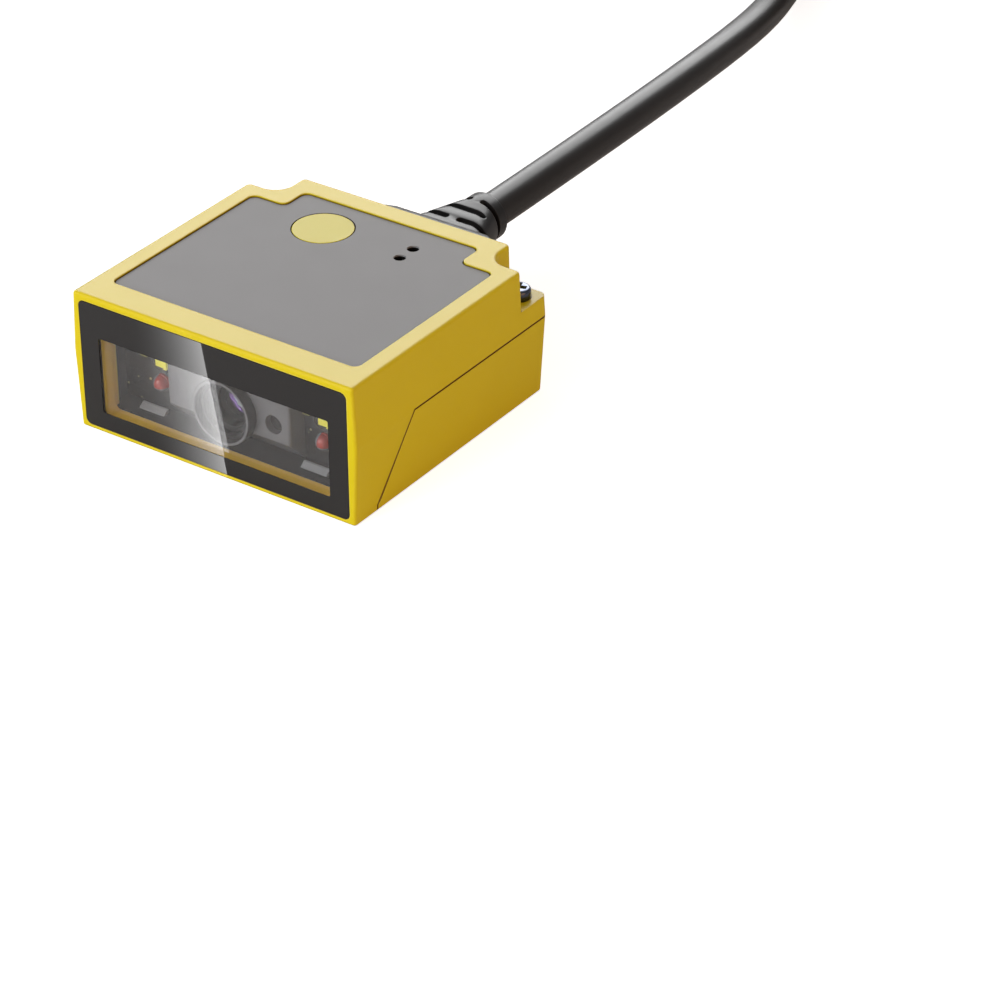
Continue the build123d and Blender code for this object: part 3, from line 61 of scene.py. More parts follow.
# Place in metres, angles in degrees
CAMERA_PLACE = (0.286212, -0.362773, 0.272187)
CAMERA_AZIMUTH = 34.968276
CAMERA_ELEVATION = 32.02709
CAMERA_ROLL = -0.337618
CAMERA_LENS = 133.0453
CAMERA_SENSOR = 36.0
CAMERA_NEAR = 10.0


def add_camera():
    """Camera in front, to the right and above, where the photograph was taken from."""
    data = bpy.data.cameras.new("camera")
    data.lens = CAMERA_LENS
    data.sensor_width = CAMERA_SENSOR
    data.clip_start = CAMERA_NEAR * MM
    camera = bpy.data.objects.new("camera", data)
    bpy.context.scene.collection.objects.link(camera)
    turn = (
        Matrix.Rotation(math.radians(CAMERA_AZIMUTH), 4, "Z")
        @ Matrix.Rotation(math.radians(90 - CAMERA_ELEVATION), 4, "X")
        @ Matrix.Rotation(math.radians(CAMERA_ROLL), 4, "Z")
    )
    camera.matrix_world = Matrix.Translation(CAMERA_PLACE) @ turn
    bpy.context.scene.camera = camera


add_camera()
bpy.context.scene.view_settings.view_transform = "Standard"


# Cable

CABLE_START = (0.0, 25.0, CABLE_HEIGHT)
BOOT_END = (0.0, 43.3, CABLE_HEIGHT)
FIRST_BEND = (0.0, 100.0, CABLE_HEIGHT)
SECOND_BEND = (-14.7, 162.0, CABLE_RADIUS)
COIL_ENTRY = (-39.4, 194.7)
# Degrees of the coil between two points of the cable
COIL_STEP = 22.5
LAST_STEP = 92
PLUG_HEIGHT = 15.5
TAIL_RUN = 9.4


def cable_route():
    """Points of the cable: out of the boot, down, round the coil and on to the plug."""
    outer = COIL_RADIUS + STRAND_STEP
    inner = COIL_RADIUS - STRAND_STEP
    low = CABLE_RADIUS
    high = low + STRAND_STEP
    # Steps made since the entry, with the radius and the height reached there
    marks = [
        (-1.0, outer, low),
        (13.5, outer, low),
        (15.5, COIL_RADIUS, low),
        (29.5, COIL_RADIUS, low),
        (31.5, inner, low),
        (43.5, inner, low),
        (45.5, inner, high),
        (57.5, inner, high),
        (59.5, COIL_RADIUS, high),
        (73.5, COIL_RADIUS, high),
        (75.5, outer, high),
        (87.5, outer, high),
        (89.5, outer, high + STRAND_STEP),
        (LAST_STEP + 0.5, outer, PLUG_HEIGHT),
    ]
    way = Vector((COIL_ENTRY[0] - SECOND_BEND[0], COIL_ENTRY[1] - SECOND_BEND[1])).normalized()
    inward = Vector((way.y, -way.x))
    centre = Vector(COIL_ENTRY) + inward * outer
    entry_turn = math.atan2(-inward.y, -inward.x)
    # The smooth cable stays inside the corners of its route, so these lie further out
    swell = 1 / math.cos(math.radians(COIL_STEP / 2))
    points = [CABLE_START, FIRST_BEND, SECOND_BEND]
    for i in range(-1, LAST_STEP + 1):
        steps = i + 0.5
        for (s0, r0, z0), (s1, r1, z1) in zip(marks, marks[1:]):
            if s0 <= steps <= s1:
                share = (steps - s0) / (s1 - s0)
                reach = (r0 + (r1 - r0) * share) * swell
                height = z0 + (z1 - z0) * share
        turn = entry_turn - math.radians(steps * COIL_STEP)
        points.append(
            (centre.x + reach * math.cos(turn), centre.y + reach * math.sin(turn), height)
        )
    points.append((points[-1][0] - TAIL_RUN, points[-1][1], PLUG_HEIGHT))
    return points


def add_cable():
    """The whole cable as one smooth round cord."""
    curve = bpy.data.curves.new("data_cable", "CURVE")
    curve.dimensions = "3D"
    # One metre times each point's radius, because a curve's box is as wide as those radii
    curve.bevel_depth = 1.0
    curve.bevel_resolution = 7
    curve.resolution_u = 10
    curve.use_fill_caps = True
    route = cable_route()
    spline = curve.splines.new("NURBS")
    spline.points.add(len(route) - 1)
    for point, place in zip(spline.points, route):
        point.co = (place[0] * MM, place[1] * MM, place[2] * MM, 1.0)
        point.radius = CABLE_RADIUS * MM
    spline.order_u = 3
    spline.use_endpoint_u = True
    cable = bpy.data.objects.new("data_cable", curve)
    bpy.context.scene.collection.objects.link(cable)
    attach(cable, "reader")
    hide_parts("cable", "cable_coil", "cable_tail")
    return cable


cable = add_cable()


# Helpers for solids

UP = Vector((0.0, 0.0, 1.0))
BACKWARD = Vector((0.0, 1.0, 0.0))
# Least share of an edge's length that lies along the axis that it runs along
ALONG_SHARE = 0.9
# Two places nearer to each other than this, in metres, count as one
SAME_PLACE = 1e-6
# Sharpest angle between faces that are shaded as one, in degrees
SMOOTH_ANGLE = 35


def in_metres(place):
    """These three values in metres."""
    return tuple(v * MM for v in place)


def select_only(piece):
    """Makes this piece the active one and the only one that is selected."""
    bpy.ops.object.select_all(action="DESELECT")
    piece.select_set(True)
    bpy.context.view_layer.objects.active = piece


def settle(piece):
    """Moves the place, turn and size of the object into its mesh."""
    select_only(piece)
    bpy.ops.object.transform_apply(location=True, rotation=True, scale=True)


def add_primitive(add, place, **settings):
    """Adds a primitive at this place, with the place, turn and size in its mesh."""
    bpy.ops.object.select_all(action="DESELECT")
    add(location=in_metres(place), **settings)
    piece = bpy.context.object
    settle(piece)
    return piece


def add_box(place, size, turn=0.0):
    """Box round this place, turned about the upright axis by this many radians."""
    return add_primitive(
        bpy.ops.mesh.primitive_cube_add, place, size=1.0, rotation=(0.0, 0.0, turn),
        scale=in_metres(size),
    )


def start_edit(piece):
    """Goes into edit mode on this piece with nothing selected."""
    bpy.context.view_layer.objects.active = piece
    bpy.ops.object.mode_set(mode="EDIT")
    bpy.ops.mesh.select_mode(type="FACE")
    bpy.ops.mesh.select_all(action="DESELECT")


def finish_edit(piece):
    """Leaves edit mode with every normal turned outwards."""
    bpy.ops.mesh.select_all(action="SELECT")
    bpy.ops.mesh.normals_make_consistent(inside=False)
    bpy.ops.object.mode_set(mode="OBJECT")
    select_only(piece)


def pick_face(piece, way):
    """Selects only the face that lies furthest towards way, a unit vector along an axis."""
    mesh = bmesh.from_edit_mesh(piece.data)
    bpy.ops.mesh.select_all(action="DESELECT")
    far = max(mesh.faces, key=lambda face: (round(face.normal.dot(way), 3),
                                            face.calc_center_median().dot(way)))
    far.select_set(True)
    bmesh.update_edit_mesh(piece.data)


def pick_edges(piece, wanted):
    """Selects only the edges that the function wanted says yes to."""
    bpy.ops.mesh.select_mode(type="EDGE")
    bpy.ops.mesh.select_all(action="DESELECT")
    mesh = bmesh.from_edit_mesh(piece.data)
    for line in mesh.edges:
        line.select_set(wanted(line))
    bmesh.update_edit_mesh(piece.data)


def runs_along(line, axis):
    """Whether an edge runs along X, Y or Z, given as 0, 1 or 2."""
    run = line.verts[1].co - line.verts[0].co
    return abs(run[axis]) > ALONG_SHARE * run.length


def extrude(*way):
    """Extrudes what is selected this way."""
    bpy.ops.mesh.extrude_region_move(TRANSFORM_OT_translate={"value": in_metres(way)})


def resize(shares, middle):
    """Resizes what is selected by these shares along X, Y and Z, about this place."""
    bpy.ops.transform.resize(value=shares, center_override=in_metres(middle))


def apply_modifier(piece, kind, **settings):
    """Adds a modifier and applies it at once."""
    bpy.context.view_layer.objects.active = piece
    added = piece.modifiers.new(kind.lower(), kind)
    for name, value in settings.items():
        setattr(added, name, value)
    bpy.ops.object.modifier_apply(modifier=added.name)


def merge(piece, other, operation):
    """Adds the other solid to the piece or cuts it away, and deletes the other."""
    apply_modifier(piece, "BOOLEAN", object=other, operation=operation, solver="EXACT")
    bpy.data.objects.remove(other, do_unlink=True)


def soften(piece, width, limit):
    """Rounds the edges sharper than limit, in degrees, and shades the rest smooth."""
    apply_modifier(
        piece, "BEVEL", width=width * MM, segments=2, limit_method="ANGLE",
        angle_limit=math.radians(limit),
    )
    select_only(piece)
    bpy.ops.object.shade_smooth_by_angle(angle=math.radians(SMOOTH_ANGLE))


# Case screws

SCREW_HEAD_RADIUS = 2.0
SCREW_HEAD_HEIGHT = 1.6
SCREW_HEAD_ROUND = 0.6
SCREW_SHANK_RADIUS = 1.0
SCREW_SHANK_LENGTH = 8.0
SCREW_POINT = 0.4
SCREW_POINT_SHARE = 0.7
SCREW_EDGE = 0.05
SCREW_EDGE_ANGLE = 40
CROSS_LENGTH = 3.0
CROSS_WIDTH = 1.0
CROSS_DEPTH = 0.8
CROSS_TAPER = 0.55
CROSS_CLEARANCE = 0.2
# Degrees that the two arms of the cross are turned by
CROSS_TURNS = (18, 108)


def cross_cutter(x, y, turn):
    """Tapered bar that cuts one arm of the cross into a screw head."""
    top = LUG_HEIGHT + SCREW_HEAD_HEIGHT + CROSS_CLEARANCE
    bottom = LUG_HEIGHT + SCREW_HEAD_HEIGHT - CROSS_DEPTH
    bar = add_box((x, y, (top + bottom) / 2), (CROSS_LENGTH, CROSS_WIDTH, top - bottom), turn)
    start_edit(bar)
    pick_face(bar, -UP)
    resize((CROSS_TAPER, CROSS_TAPER, 1.0), (x, y, bottom))
    finish_edit(bar)
    return bar


def add_case_screw(name, x, y):
    """Pan-head screw with a cross recess, seated on its lug."""
    screw = add_primitive(
        bpy.ops.mesh.primitive_cylinder_add, (x, y, LUG_HEIGHT + SCREW_HEAD_HEIGHT / 2),
        vertices=64, radius=SCREW_HEAD_RADIUS * MM, depth=SCREW_HEAD_HEIGHT * MM,
    )
    screw.name = name
    start_edit(screw)
    pick_face(screw, UP)
    bpy.ops.mesh.bevel(offset=SCREW_HEAD_ROUND * MM, segments=6, profile=0.5, affect="EDGES")
    pick_face(screw, -UP)
    bpy.ops.mesh.inset(thickness=(SCREW_HEAD_RADIUS - SCREW_SHANK_RADIUS) * MM)
    extrude(0.0, 0.0, SCREW_POINT - SCREW_SHANK_LENGTH)
    extrude(0.0, 0.0, -SCREW_POINT)
    resize((SCREW_POINT_SHARE, SCREW_POINT_SHARE, 1.0), (x, y, LUG_HEIGHT))
    finish_edit(screw)
    for turn in CROSS_TURNS:
        merge(screw, cross_cutter(x, y, math.radians(turn)), "DIFFERENCE")
    soften(screw, SCREW_EDGE, SCREW_EDGE_ANGLE)
    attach(screw, "reader")
    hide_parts(name.replace("data_", ""))
    return screw


screws = [
    add_case_screw("data_case_screw_left", -CASE_SCREW_X, CASE_SCREW_Y),
    add_case_screw("data_case_screw_right", CASE_SCREW_X, CASE_SCREW_Y),
]


# Strain relief

# Width, depth and height of each block, where it begins along Y, and the radius of its corners
PLATE = (20.4, 0.8, 9.4, 29.7, 1.2)
NECK = (16.6, 2.0, 6.8, 28.0, 1.0)
FLANGE = (19.6, 2.0, 7.4, 26.3, 0.3)
# Size of the plate's rear face, and how far the plate slopes to it
PLATE_FACE = (18.4, 8.4)
PLATE_SLOPE = 1.2
RELIEF_EDGE = 0.15
RELIEF_EDGE_ANGLE = 35

# Width, height and corner radius of the boot where it leaves the plate
BOOT_ROOT = (14.6, 6.6, 2.6)
BOOT_ROOT_Y = 31.5
BOOT_TIP_Y = 41.5
BOOT_TIP_RADIUS = 3.85

SLOT_WIDTH = 1.2
SLOT_DEPTH = 0.7
SLOT_REACH = 12.0
# An edge of a slab further out than this share of its reach is beside the boot, and stays sharp
OUTER_SHARE = 0.9
# Radius of a slot's round ends as a share of its width, just under half so that a flat is left
SLOT_END_SHARE = 0.49
MIDDLE_SLOT_Y = 37.7
MIDDLE_SLOT_HALF = 3.7
SIDE_SLOTS_Y = (34.6, 40.8)
SIDE_SLOTS_HALF_GAP = 0.72

BORE_RADIUS = 2.9
BORE_END = 45.0
MOUTH_RADIUS = 3.3
MOUTH_DEPTH = 0.6


def add_block(width, depth, height, y, corner):
    """Block across the cable's axis from y on, its edges along that axis rounded by corner."""
    block = add_box((0.0, y + depth / 2, CABLE_HEIGHT), (width, depth, height))
    start_edit(block)
    pick_edges(block, lambda line: runs_along(line, 1))
    bpy.ops.mesh.bevel(offset=corner * MM, segments=7, affect="EDGES")
    finish_edit(block)
    return block


def add_plate():
    """Plate whose rear edges slope to a smaller face."""
    width, depth, height, y, _ = PLATE
    plate = add_block(*PLATE)
    start_edit(plate)
    pick_face(plate, BACKWARD)
    extrude(0.0, PLATE_SLOPE, 0.0)
    resize(
        (PLATE_FACE[0] / width, 1.0, PLATE_FACE[1] / height),
        (0.0, y + depth + PLATE_SLOPE, CABLE_HEIGHT),
    )
    finish_edit(plate)
    return plate


def add_boot(shrink):
    """Boot from a rounded rectangle to a round tip and collar, smaller all round by shrink."""
    width, height, corner = BOOT_ROOT
    facing_back = (math.pi / 2, 0.0, 0.0)
    bpy.ops.object.select_all(action="DESELECT")
    bpy.ops.mesh.primitive_plane_add(
        size=1.0, location=in_metres((0.0, BOOT_ROOT_Y, CABLE_HEIGHT)), rotation=facing_back
    )
    boot = bpy.context.object
    boot.scale = ((width - 2 * shrink) * MM, (height - 2 * shrink) * MM, 1.0)
    settle(boot)
    start_edit(boot)
    bpy.ops.mesh.select_mode(type="VERT")
    bpy.ops.mesh.select_all(action="SELECT")
    bpy.ops.mesh.bevel(offset=(corner - shrink) * MM, segments=7, affect="VERTICES")
    bpy.ops.mesh.select_all(action="SELECT")
    bpy.ops.mesh.delete(type="ONLY_FACE")
    bpy.ops.mesh.primitive_circle_add(
        vertices=32, radius=(BOOT_TIP_RADIUS - shrink) * MM, fill_type="NOTHING",
        location=in_metres((0.0, BOOT_TIP_Y, CABLE_HEIGHT)), rotation=facing_back,
    )
    bpy.ops.mesh.select_mode(type="EDGE")
    bpy.ops.mesh.select_all(action="SELECT")
    bpy.ops.mesh.bridge_edge_loops(number_cuts=6, interpolation="LINEAR")
    pick_edges(boot, lambda line: all(
        abs(end.co.y - BOOT_TIP_Y * MM) < SAME_PLACE for end in line.verts))
    extrude(0.0, BOOT_END[1] - BOOT_TIP_Y, 0.0)
    bpy.ops.mesh.select_all(action="SELECT")
    bpy.ops.mesh.fill_holes(sides=0)
    finish_edit(boot)
    return boot


def slot_cutter(y, left, right):
    """Upright slab from left to right that cuts one slot, its ends over the boot rounded."""
    slab = add_box(
        ((left + right) / 2, y, CABLE_HEIGHT), (right - left, SLOT_WIDTH, SLOT_REACH)
    )
    start_edit(slab)
    far = OUTER_SHARE * SLOT_REACH * MM
    pick_edges(slab, lambda line: runs_along(line, 2) and abs(line.verts[0].co.x) < far)
    bpy.ops.mesh.bevel(offset=SLOT_END_SHARE * SLOT_WIDTH * MM, segments=6, affect="EDGES")
    finish_edit(slab)
    return slab


def bore_cutter(radius, start):
    """Cylinder along the cable's axis, from start to beyond the boot."""
    return add_primitive(
        bpy.ops.mesh.primitive_cylinder_add, (0.0, (start + BORE_END) / 2, CABLE_HEIGHT),
        vertices=48, radius=radius * MM, depth=(BORE_END - start) * MM,
        rotation=(math.pi / 2, 0.0, 0.0),
    )


def add_relief():
    """Flange, neck, plate and slotted boot of the strain relief, as one moulding."""
    relief = add_plate()
    relief.name = "data_strain_relief"
    merge(relief, add_block(*NECK), "UNION")
    merge(relief, add_block(*FLANGE), "UNION")
    merge(relief, add_boot(0.0), "UNION")
    slots = [(MIDDLE_SLOT_Y, -MIDDLE_SLOT_HALF, MIDDLE_SLOT_HALF)]
    for y in SIDE_SLOTS_Y:
        slots.append((y, SIDE_SLOTS_HALF_GAP, SLOT_REACH))
        slots.append((y, -SLOT_REACH, -SIDE_SLOTS_HALF_GAP))
    for y, left, right in slots:
        slab = slot_cutter(y, left, right)
        merge(slab, add_boot(SLOT_DEPTH), "DIFFERENCE")
        merge(relief, slab, "DIFFERENCE")
    merge(relief, bore_cutter(MOUTH_RADIUS, BOOT_END[1] - MOUTH_DEPTH), "DIFFERENCE")
    merge(relief, bore_cutter(BORE_RADIUS, CABLE_START[1]), "DIFFERENCE")
    soften(relief, RELIEF_EDGE, RELIEF_EDGE_ANGLE)
    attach(relief, "reader")
    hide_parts("strain_relief")
    return relief


relief = add_relief()


# Shader helpers

BLACK = (0.0, 0.0, 0.0, 1.0)
WHITE = (1.0, 1.0, 1.0, 1.0)


def node(tree, kind, inputs=None, **settings):
    """Adds a node, with each input set to a value or joined to another node's output."""
    made = tree.nodes.new(kind)
    for name, value in settings.items():
        setattr(made, name, value)
    for key, value in (inputs or {}).items():
        if isinstance(value, bpy.types.NodeSocket):
            tree.links.new(value, made.inputs[key])
        else:
            made.inputs[key].default_value = value
    return made


def math_node(tree, operation, *values):
    """Output of a Math node that works on these values or outputs."""
    return node(tree, "ShaderNodeMath", dict(enumerate(values)), operation=operation).outputs[0]


def join(tree, target, **sources):
    """Joins outputs to the target's sockets, written with underscores for spaces."""
    for name, source in sources.items():
        tree.links.new(source, target.inputs[name.replace("_", " ")])


def set_values(target, **values):
    """Sets the target's sockets, written with underscores for spaces."""
    for name, value in values.items():
        target.inputs[name.replace("_", " ")].default_value = value


def new_group(name, inputs, outputs):
    """Empty shader group with these sockets, what it is given, and its output node."""
    group = bpy.data.node_groups.new(name, "ShaderNodeTree")
    for label, value in inputs.items():
        kind = "NodeSocketColor" if isinstance(value, tuple) else "NodeSocketFloat"
        socket = group.interface.new_socket(name=label, in_out="INPUT", socket_type=kind)
        socket.default_value = value
    for label, kind in outputs.items():
        group.interface.new_socket(name=label, in_out="OUTPUT", socket_type="NodeSocket" + kind)
    return group, node(group, "NodeGroupInput").outputs, node(group, "NodeGroupOutput")


def place_on(tree):
    """Place on the reader, in metres."""
    return node(tree, "ShaderNodeTexCoord").outputs["Object"]


def axes_from(tree, middle=(0.0, 0.0, 0.0)):
    """Distances in metres along X, Y and Z from this middle."""
    back = tuple(-v for v in in_metres(middle))
    centred = node(
        tree, "ShaderNodeMapping", {"Vector": place_on(tree), "Location": back}
    ).outputs[0]
    return node(tree, "ShaderNodeSeparateXYZ", {0: centred}).outputs


def noise(tree, place, cells, detail):
    """Noise with this many cells in a metre."""
    return node(
        tree, "ShaderNodeTexNoise", {"Vector": place, "Scale": cells, "Detail": detail}
    ).outputs[0]


def ramp(tree, value, start, end):
    """0 where the value is at start, 1 where it is at end, and in proportion between them."""
    return node(
        tree, "ShaderNodeMapRange", {"Value": value, "From Min": start, "From Max": end}
    ).outputs[0]


def mix(tree, share, first, second):
    """Colour that goes from first to second as share goes from 0 to 1."""
    # The node has one set of sockets for each kind of data: those of colours are 6, 7 and 2
    return node(
        tree, "ShaderNodeMix", {0: share, 6: first, 7: second}, data_type="RGBA"
    ).outputs[2]


def shaded(tree, tint, value):
    """Tint made lighter or darker by the factor in value."""
    return node(
        tree, "ShaderNodeHueSaturation", {"Color": tint, "Value": value}
    ).outputs["Color"]


def around(tree, wave, middle, spread):
    """Value that strays from middle by up to spread as the wave goes from 0 to 1."""
    swing = math_node(tree, "MULTIPLY_ADD", wave, 2.0, -1.0)
    return math_node(tree, "MULTIPLY_ADD", swing, spread, middle)


def slanting(tree, first, second):
    """Length of the line that reaches as far as first along one axis and second along another."""
    squares = [math_node(tree, "MULTIPLY", v, v) for v in (first, second)]
    return math_node(tree, "SQRT", math_node(tree, "ADD", *squares))


# Shader groups

# Cells of noise in a metre
CLOUD_CELLS = 70.0
SMEAR_CELLS = 240.0
STAIN_CELLS = 500.0
WEAVE_CELLS = 4000.0
# Cells in a metre where Streak mm is 1, and how many times shorter they are along Z
STREAK_CELLS = 200.0
STREAK_STRETCH = 9.0

# Where the edge of a marking begins and where it is complete
EDGE_BEND = (0.004, 0.14)
TRACK_EDGE = (0.09, 0.06)
PAD_EDGE = (0.16, 0.13)
CORNER_OPENNESS = (0.86, 0.45)
SEAM_EDGE = (1.25, 0.75)

# Middle and spread
BOARD_ROUGHNESS = (0.32, 0.08)

# Bend of the shell's seam, the way in which its slope faces along Y and Z, how far in front of
# the bend the slope ends, and how far inside the lower shell the line lies
SEAM_BEND = (0.0, -9.7, 12.4)
SEAM_SLOPE = (0.805, -0.593)
SEAM_FOOT = 8.4
SEAM_INSET = 0.07

WELLS_MIDDLE = (7.6, 12.6, 0.0)
WELLS_HALF_SPACING = 1.625

RECESS_MIDDLE = (0.0, 0.0, 9.35)
RECESS_FRONT = -22.05
RECESS_BACK = -19.0
RECESS_HALF_WIDTH = 22.5
RECESS_HALF_HEIGHT = 8.2

LENS_MIDDLE = (0.0, 0.0, 9.15)
LAMP_X = 14.5


def moulded_group():
    """Moulded plastic or rubber: faint clouds in the tint, uneven gloss and a fine grain."""
    group, given, result = new_group(
        "Moulded surface",
        {"Tint": (0.5, 0.5, 0.5, 1.0), "Clouding": 0.04, "Grain mm": 0.25,
         "Roughness": 0.4, "Gloss spread": 0.06},
        {"Color": "Color", "Roughness": "Float", "Grain": "Float"},
    )
    place = place_on(group)
    clouds = noise(group, place, CLOUD_CELLS, 4.0)
    smears = noise(group, place, SMEAR_CELLS, 2.0)
    cells = math_node(group, "DIVIDE", MM_PER_METRE, given["Grain mm"])
    join(
        group, result,
        Color=shaded(group, given["Tint"], around(group, clouds, 1.0, given["Clouding"])),
        Roughness=around(group, smears, given["Roughness"], given["Gloss spread"]),
        Grain=noise(group, place, cells, 2.0),
    )
    return group


def soft_edge_group():
    """Small radius on the edges of a part: the rounded normal, and where the edges are."""
    group, given, result = new_group(
        "Soft edge", {"Radius": 0.15 * MM}, {"Normal": "Vector", "Edge": "Float"}
    )
    rounded = node(group, "ShaderNodeBevel", {"Radius": given["Radius"]}, samples=6).outputs[0]
    flat = node(group, "ShaderNodeNewGeometry").outputs["True Normal"]
    along = node(
        group, "ShaderNodeVectorMath", {0: rounded, 1: flat}, operation="DOT_PRODUCT"
    ).outputs["Value"]
    bent = math_node(group, "SUBTRACT", 1.0, along)
    join(group, result, Normal=rounded, Edge=ramp(group, bent, *EDGE_BEND))
    return group


def metal_group():
    """Machined or plated metal: fine turned streaks, and stains that dull it in places."""
    group, given, result = new_group(
        "Worked metal",
        {"Tint": (0.6, 0.6, 0.6, 1.0), "Streak mm": 0.2, "Roughness": 0.3, "Staining": 0.12},
        {"Color": "Color", "Roughness": "Float", "Grain": "Float"},
    )
    place = place_on(group)
    stretched = node(
        group, "ShaderNodeMapping", {"Vector": place, "Scale": (1.0, 1.0, STREAK_STRETCH)}
    ).outputs[0]
    cells = math_node(group, "DIVIDE", STREAK_CELLS, given["Streak mm"])
    streaks = noise(group, stretched, cells, 3.0)
    stains = noise(group, place, STAIN_CELLS, 3.0)
    join(
        group, result,
        Color=shaded(group, given["Tint"], around(group, stains, 1.0, given["Staining"])),
        Roughness=around(group, streaks, given["Roughness"], given["Staining"]),
        Grain=streaks,
    )
    return group


def circuit_group():
    """Solder mask over copper: paler tracks, small plated holes and a weave in the laminate."""
    group, given, result = new_group(
        "Circuit board",
        {"Mask": (0.01, 0.08, 0.03, 1.0), "Track": (0.02, 0.17, 0.06, 1.0),
         "Pad": (0.7, 0.6, 0.35, 1.0), "Pitch mm": 1.6},
        {"Color": "Color", "Roughness": "Float", "Metal": "Float", "Relief": "Float"},
    )
    place = place_on(group)
    cells = math_node(group, "DIVIDE", MM_PER_METRE, given["Pitch mm"])
    borders = node(
        group, "ShaderNodeTexVoronoi", {"Vector": place, "Scale": cells, "Randomness": 0.75},
        feature="DISTANCE_TO_EDGE",
    ).outputs["Distance"]
    track = ramp(group, borders, *TRACK_EDGE)
    holes = node(
        group, "ShaderNodeTexVoronoi", {"Vector": place, "Scale": cells, "Randomness": 0.9}
    ).outputs["Distance"]
    pad = ramp(group, holes, *PAD_EDGE)
    copper = mix(group, track, given["Mask"], given["Track"])
    join(
        group, result,
        Color=mix(group, pad, copper, given["Pad"]),
        Roughness=around(group, noise(group, place, WEAVE_CELLS, 1.0), *BOARD_ROUGHNESS),
        Metal=pad,
        Relief=math_node(group, "MAXIMUM", track, pad),
    )
    return group


def corner_group():
    """Painted dark shade in narrow grooves and inner corners, from ambient occlusion."""
    group, given, result = new_group("Painted corner shade", {"Reach": 0.4 * MM}, {"Shade": "Float"})
    openness = node(
        group, "ShaderNodeAmbientOcclusion", {"Distance": given["Reach"]}, samples=8
    ).outputs["AO"]
    join(group, result, Shade=ramp(group, openness, *CORNER_OPENNESS))
    return group


def seam_group():
    """Dark line where the two shells meet: level, then down and forward to the underside."""
    group, given, result = new_group("Shell seam", {"Half width": 0.16 * MM}, {"Shade": "Float"})
    axes = axes_from(group, SEAM_BEND)
    below = math_node(group, "MULTIPLY", axes["Z"], -1.0)
    behind = math_node(
        group, "ADD", math_node(group, "MULTIPLY", axes["Y"], SEAM_SLOPE[0]),
        math_node(group, "MULTIPLY", axes["Z"], SEAM_SLOPE[1]),
    )
    foot = math_node(group, "ADD", axes["Y"], SEAM_FOOT * MM)
    inside = math_node(group, "MINIMUM", below, math_node(group, "MINIMUM", behind, foot))
    away = math_node(group, "ABSOLUTE", math_node(group, "SUBTRACT", inside, SEAM_INSET * MM))
    share = math_node(group, "DIVIDE", away, given["Half width"])
    join(group, result, Shade=ramp(group, share, *SEAM_EDGE))
    return group


def painted_well_shade_group():
    """Painted shade down the two indicator holes: black laid on their walls."""
    group, given, result = new_group(
        "Indicator wells painted shade", {"Radius": 1.08 * MM}, {"Shade": "Float"}
    )
    axes = axes_from(group, WELLS_MIDDLE)
    along = math_node(
        group, "SUBTRACT", math_node(group, "ABSOLUTE", axes["Y"]), WELLS_HALF_SPACING * MM
    )
    away = slanting(group, axes["X"], along)
    join(group, result, Shade=math_node(group, "LESS_THAN", away, given["Radius"]))
    return group


def recess_painted_light_group():
    """Painted light: where the shell's window opening goes in behind the pane, whose walls get a
    brighter tint that also covers the painted corner shade there.
    """
    group, given, result = new_group(
        "Window recess painted light", {"Front": RECESS_FRONT * MM}, {"Shade": "Float"}
    )
    axes = axes_from(group, RECESS_MIDDLE)
    behind = math_node(group, "GREATER_THAN", axes["Y"], given["Front"])
    before = math_node(group, "LESS_THAN", axes["Y"], RECESS_BACK * MM)
    across, upright = (
        math_node(group, "LESS_THAN", math_node(group, "ABSOLUTE", axes[name]), half * MM)
        for name, half in (("X", RECESS_HALF_WIDTH), ("Z", RECESS_HALF_HEIGHT))
    )
    shade = math_node(
        group, "MULTIPLY", math_node(group, "MULTIPLY", behind, before),
        math_node(group, "MULTIPLY", across, upright),
    )
    join(group, result, Shade=shade)
    return group


def rim_highlight_group():
    """Painted highlight: a pale ring on the front of the lens barrel, where its rim catches the
    light.
    """
    group, given, result = new_group(
        "Painted barrel rim highlight", {"Inner": 4.6 * MM, "Outer": 4.95 * MM}, {"Shade": "Float"}
    )
    axes = axes_from(group, LENS_MIDDLE)
    away = slanting(group, axes["X"], axes["Z"])
    shade = math_node(
        group, "MULTIPLY", math_node(group, "GREATER_THAN", away, given["Inner"]),
        math_node(group, "LESS_THAN", away, given["Outer"]),
    )
    join(group, result, Shade=shade)
    return group


def lamp_corner_group():
    """What lies left of or under the bright part of a lamp, for the lamps on both sides; the
    yellow lamp's painted glow stays out of it.
    """
    group, given, result = new_group(
        "Lamp corner", {"Height": 10.7 * MM, "Left": -0.7 * MM, "Low": -0.85 * MM},
        {"Shade": "Float"},
    )
    axes = axes_from(group)
    middle = math_node(group, "MULTIPLY", math_node(group, "SIGN", axes["X"]), LAMP_X * MM)
    right = math_node(group, "SUBTRACT", axes["X"], middle)
    up = math_node(group, "SUBTRACT", axes["Z"], given["Height"])
    shade = math_node(
        group, "MAXIMUM", math_node(group, "LESS_THAN", right, given["Left"]),
        math_node(group, "LESS_THAN", up, given["Low"]),
    )
    join(group, result, Shade=shade)
    return group


MOULDED = moulded_group()
# Painted light: a brighter tint on the walls of the window recess
RECESS = recess_painted_light_group()
# Painted highlight on the lens barrel's front rim
RIM_HIGHLIGHT = rim_highlight_group()
LAMP_CORNER = lamp_corner_group()
SOFT_EDGE = soft_edge_group()
METAL = metal_group()
CIRCUIT = circuit_group()
# Painted shade in narrow grooves and inner corners
CORNERS = corner_group()
SEAM = seam_group()
# Painted shade: black down the two indicator holes
WELLS = painted_well_shade_group()


# Materials

BUMP_STRENGTH = 0.5
TRACK_RELIEF = 0.03
# Thin film on the coated lens, in nanometres, and its refractive index
LENS_FILM = 420.0
FILM_INDEX = 2.4


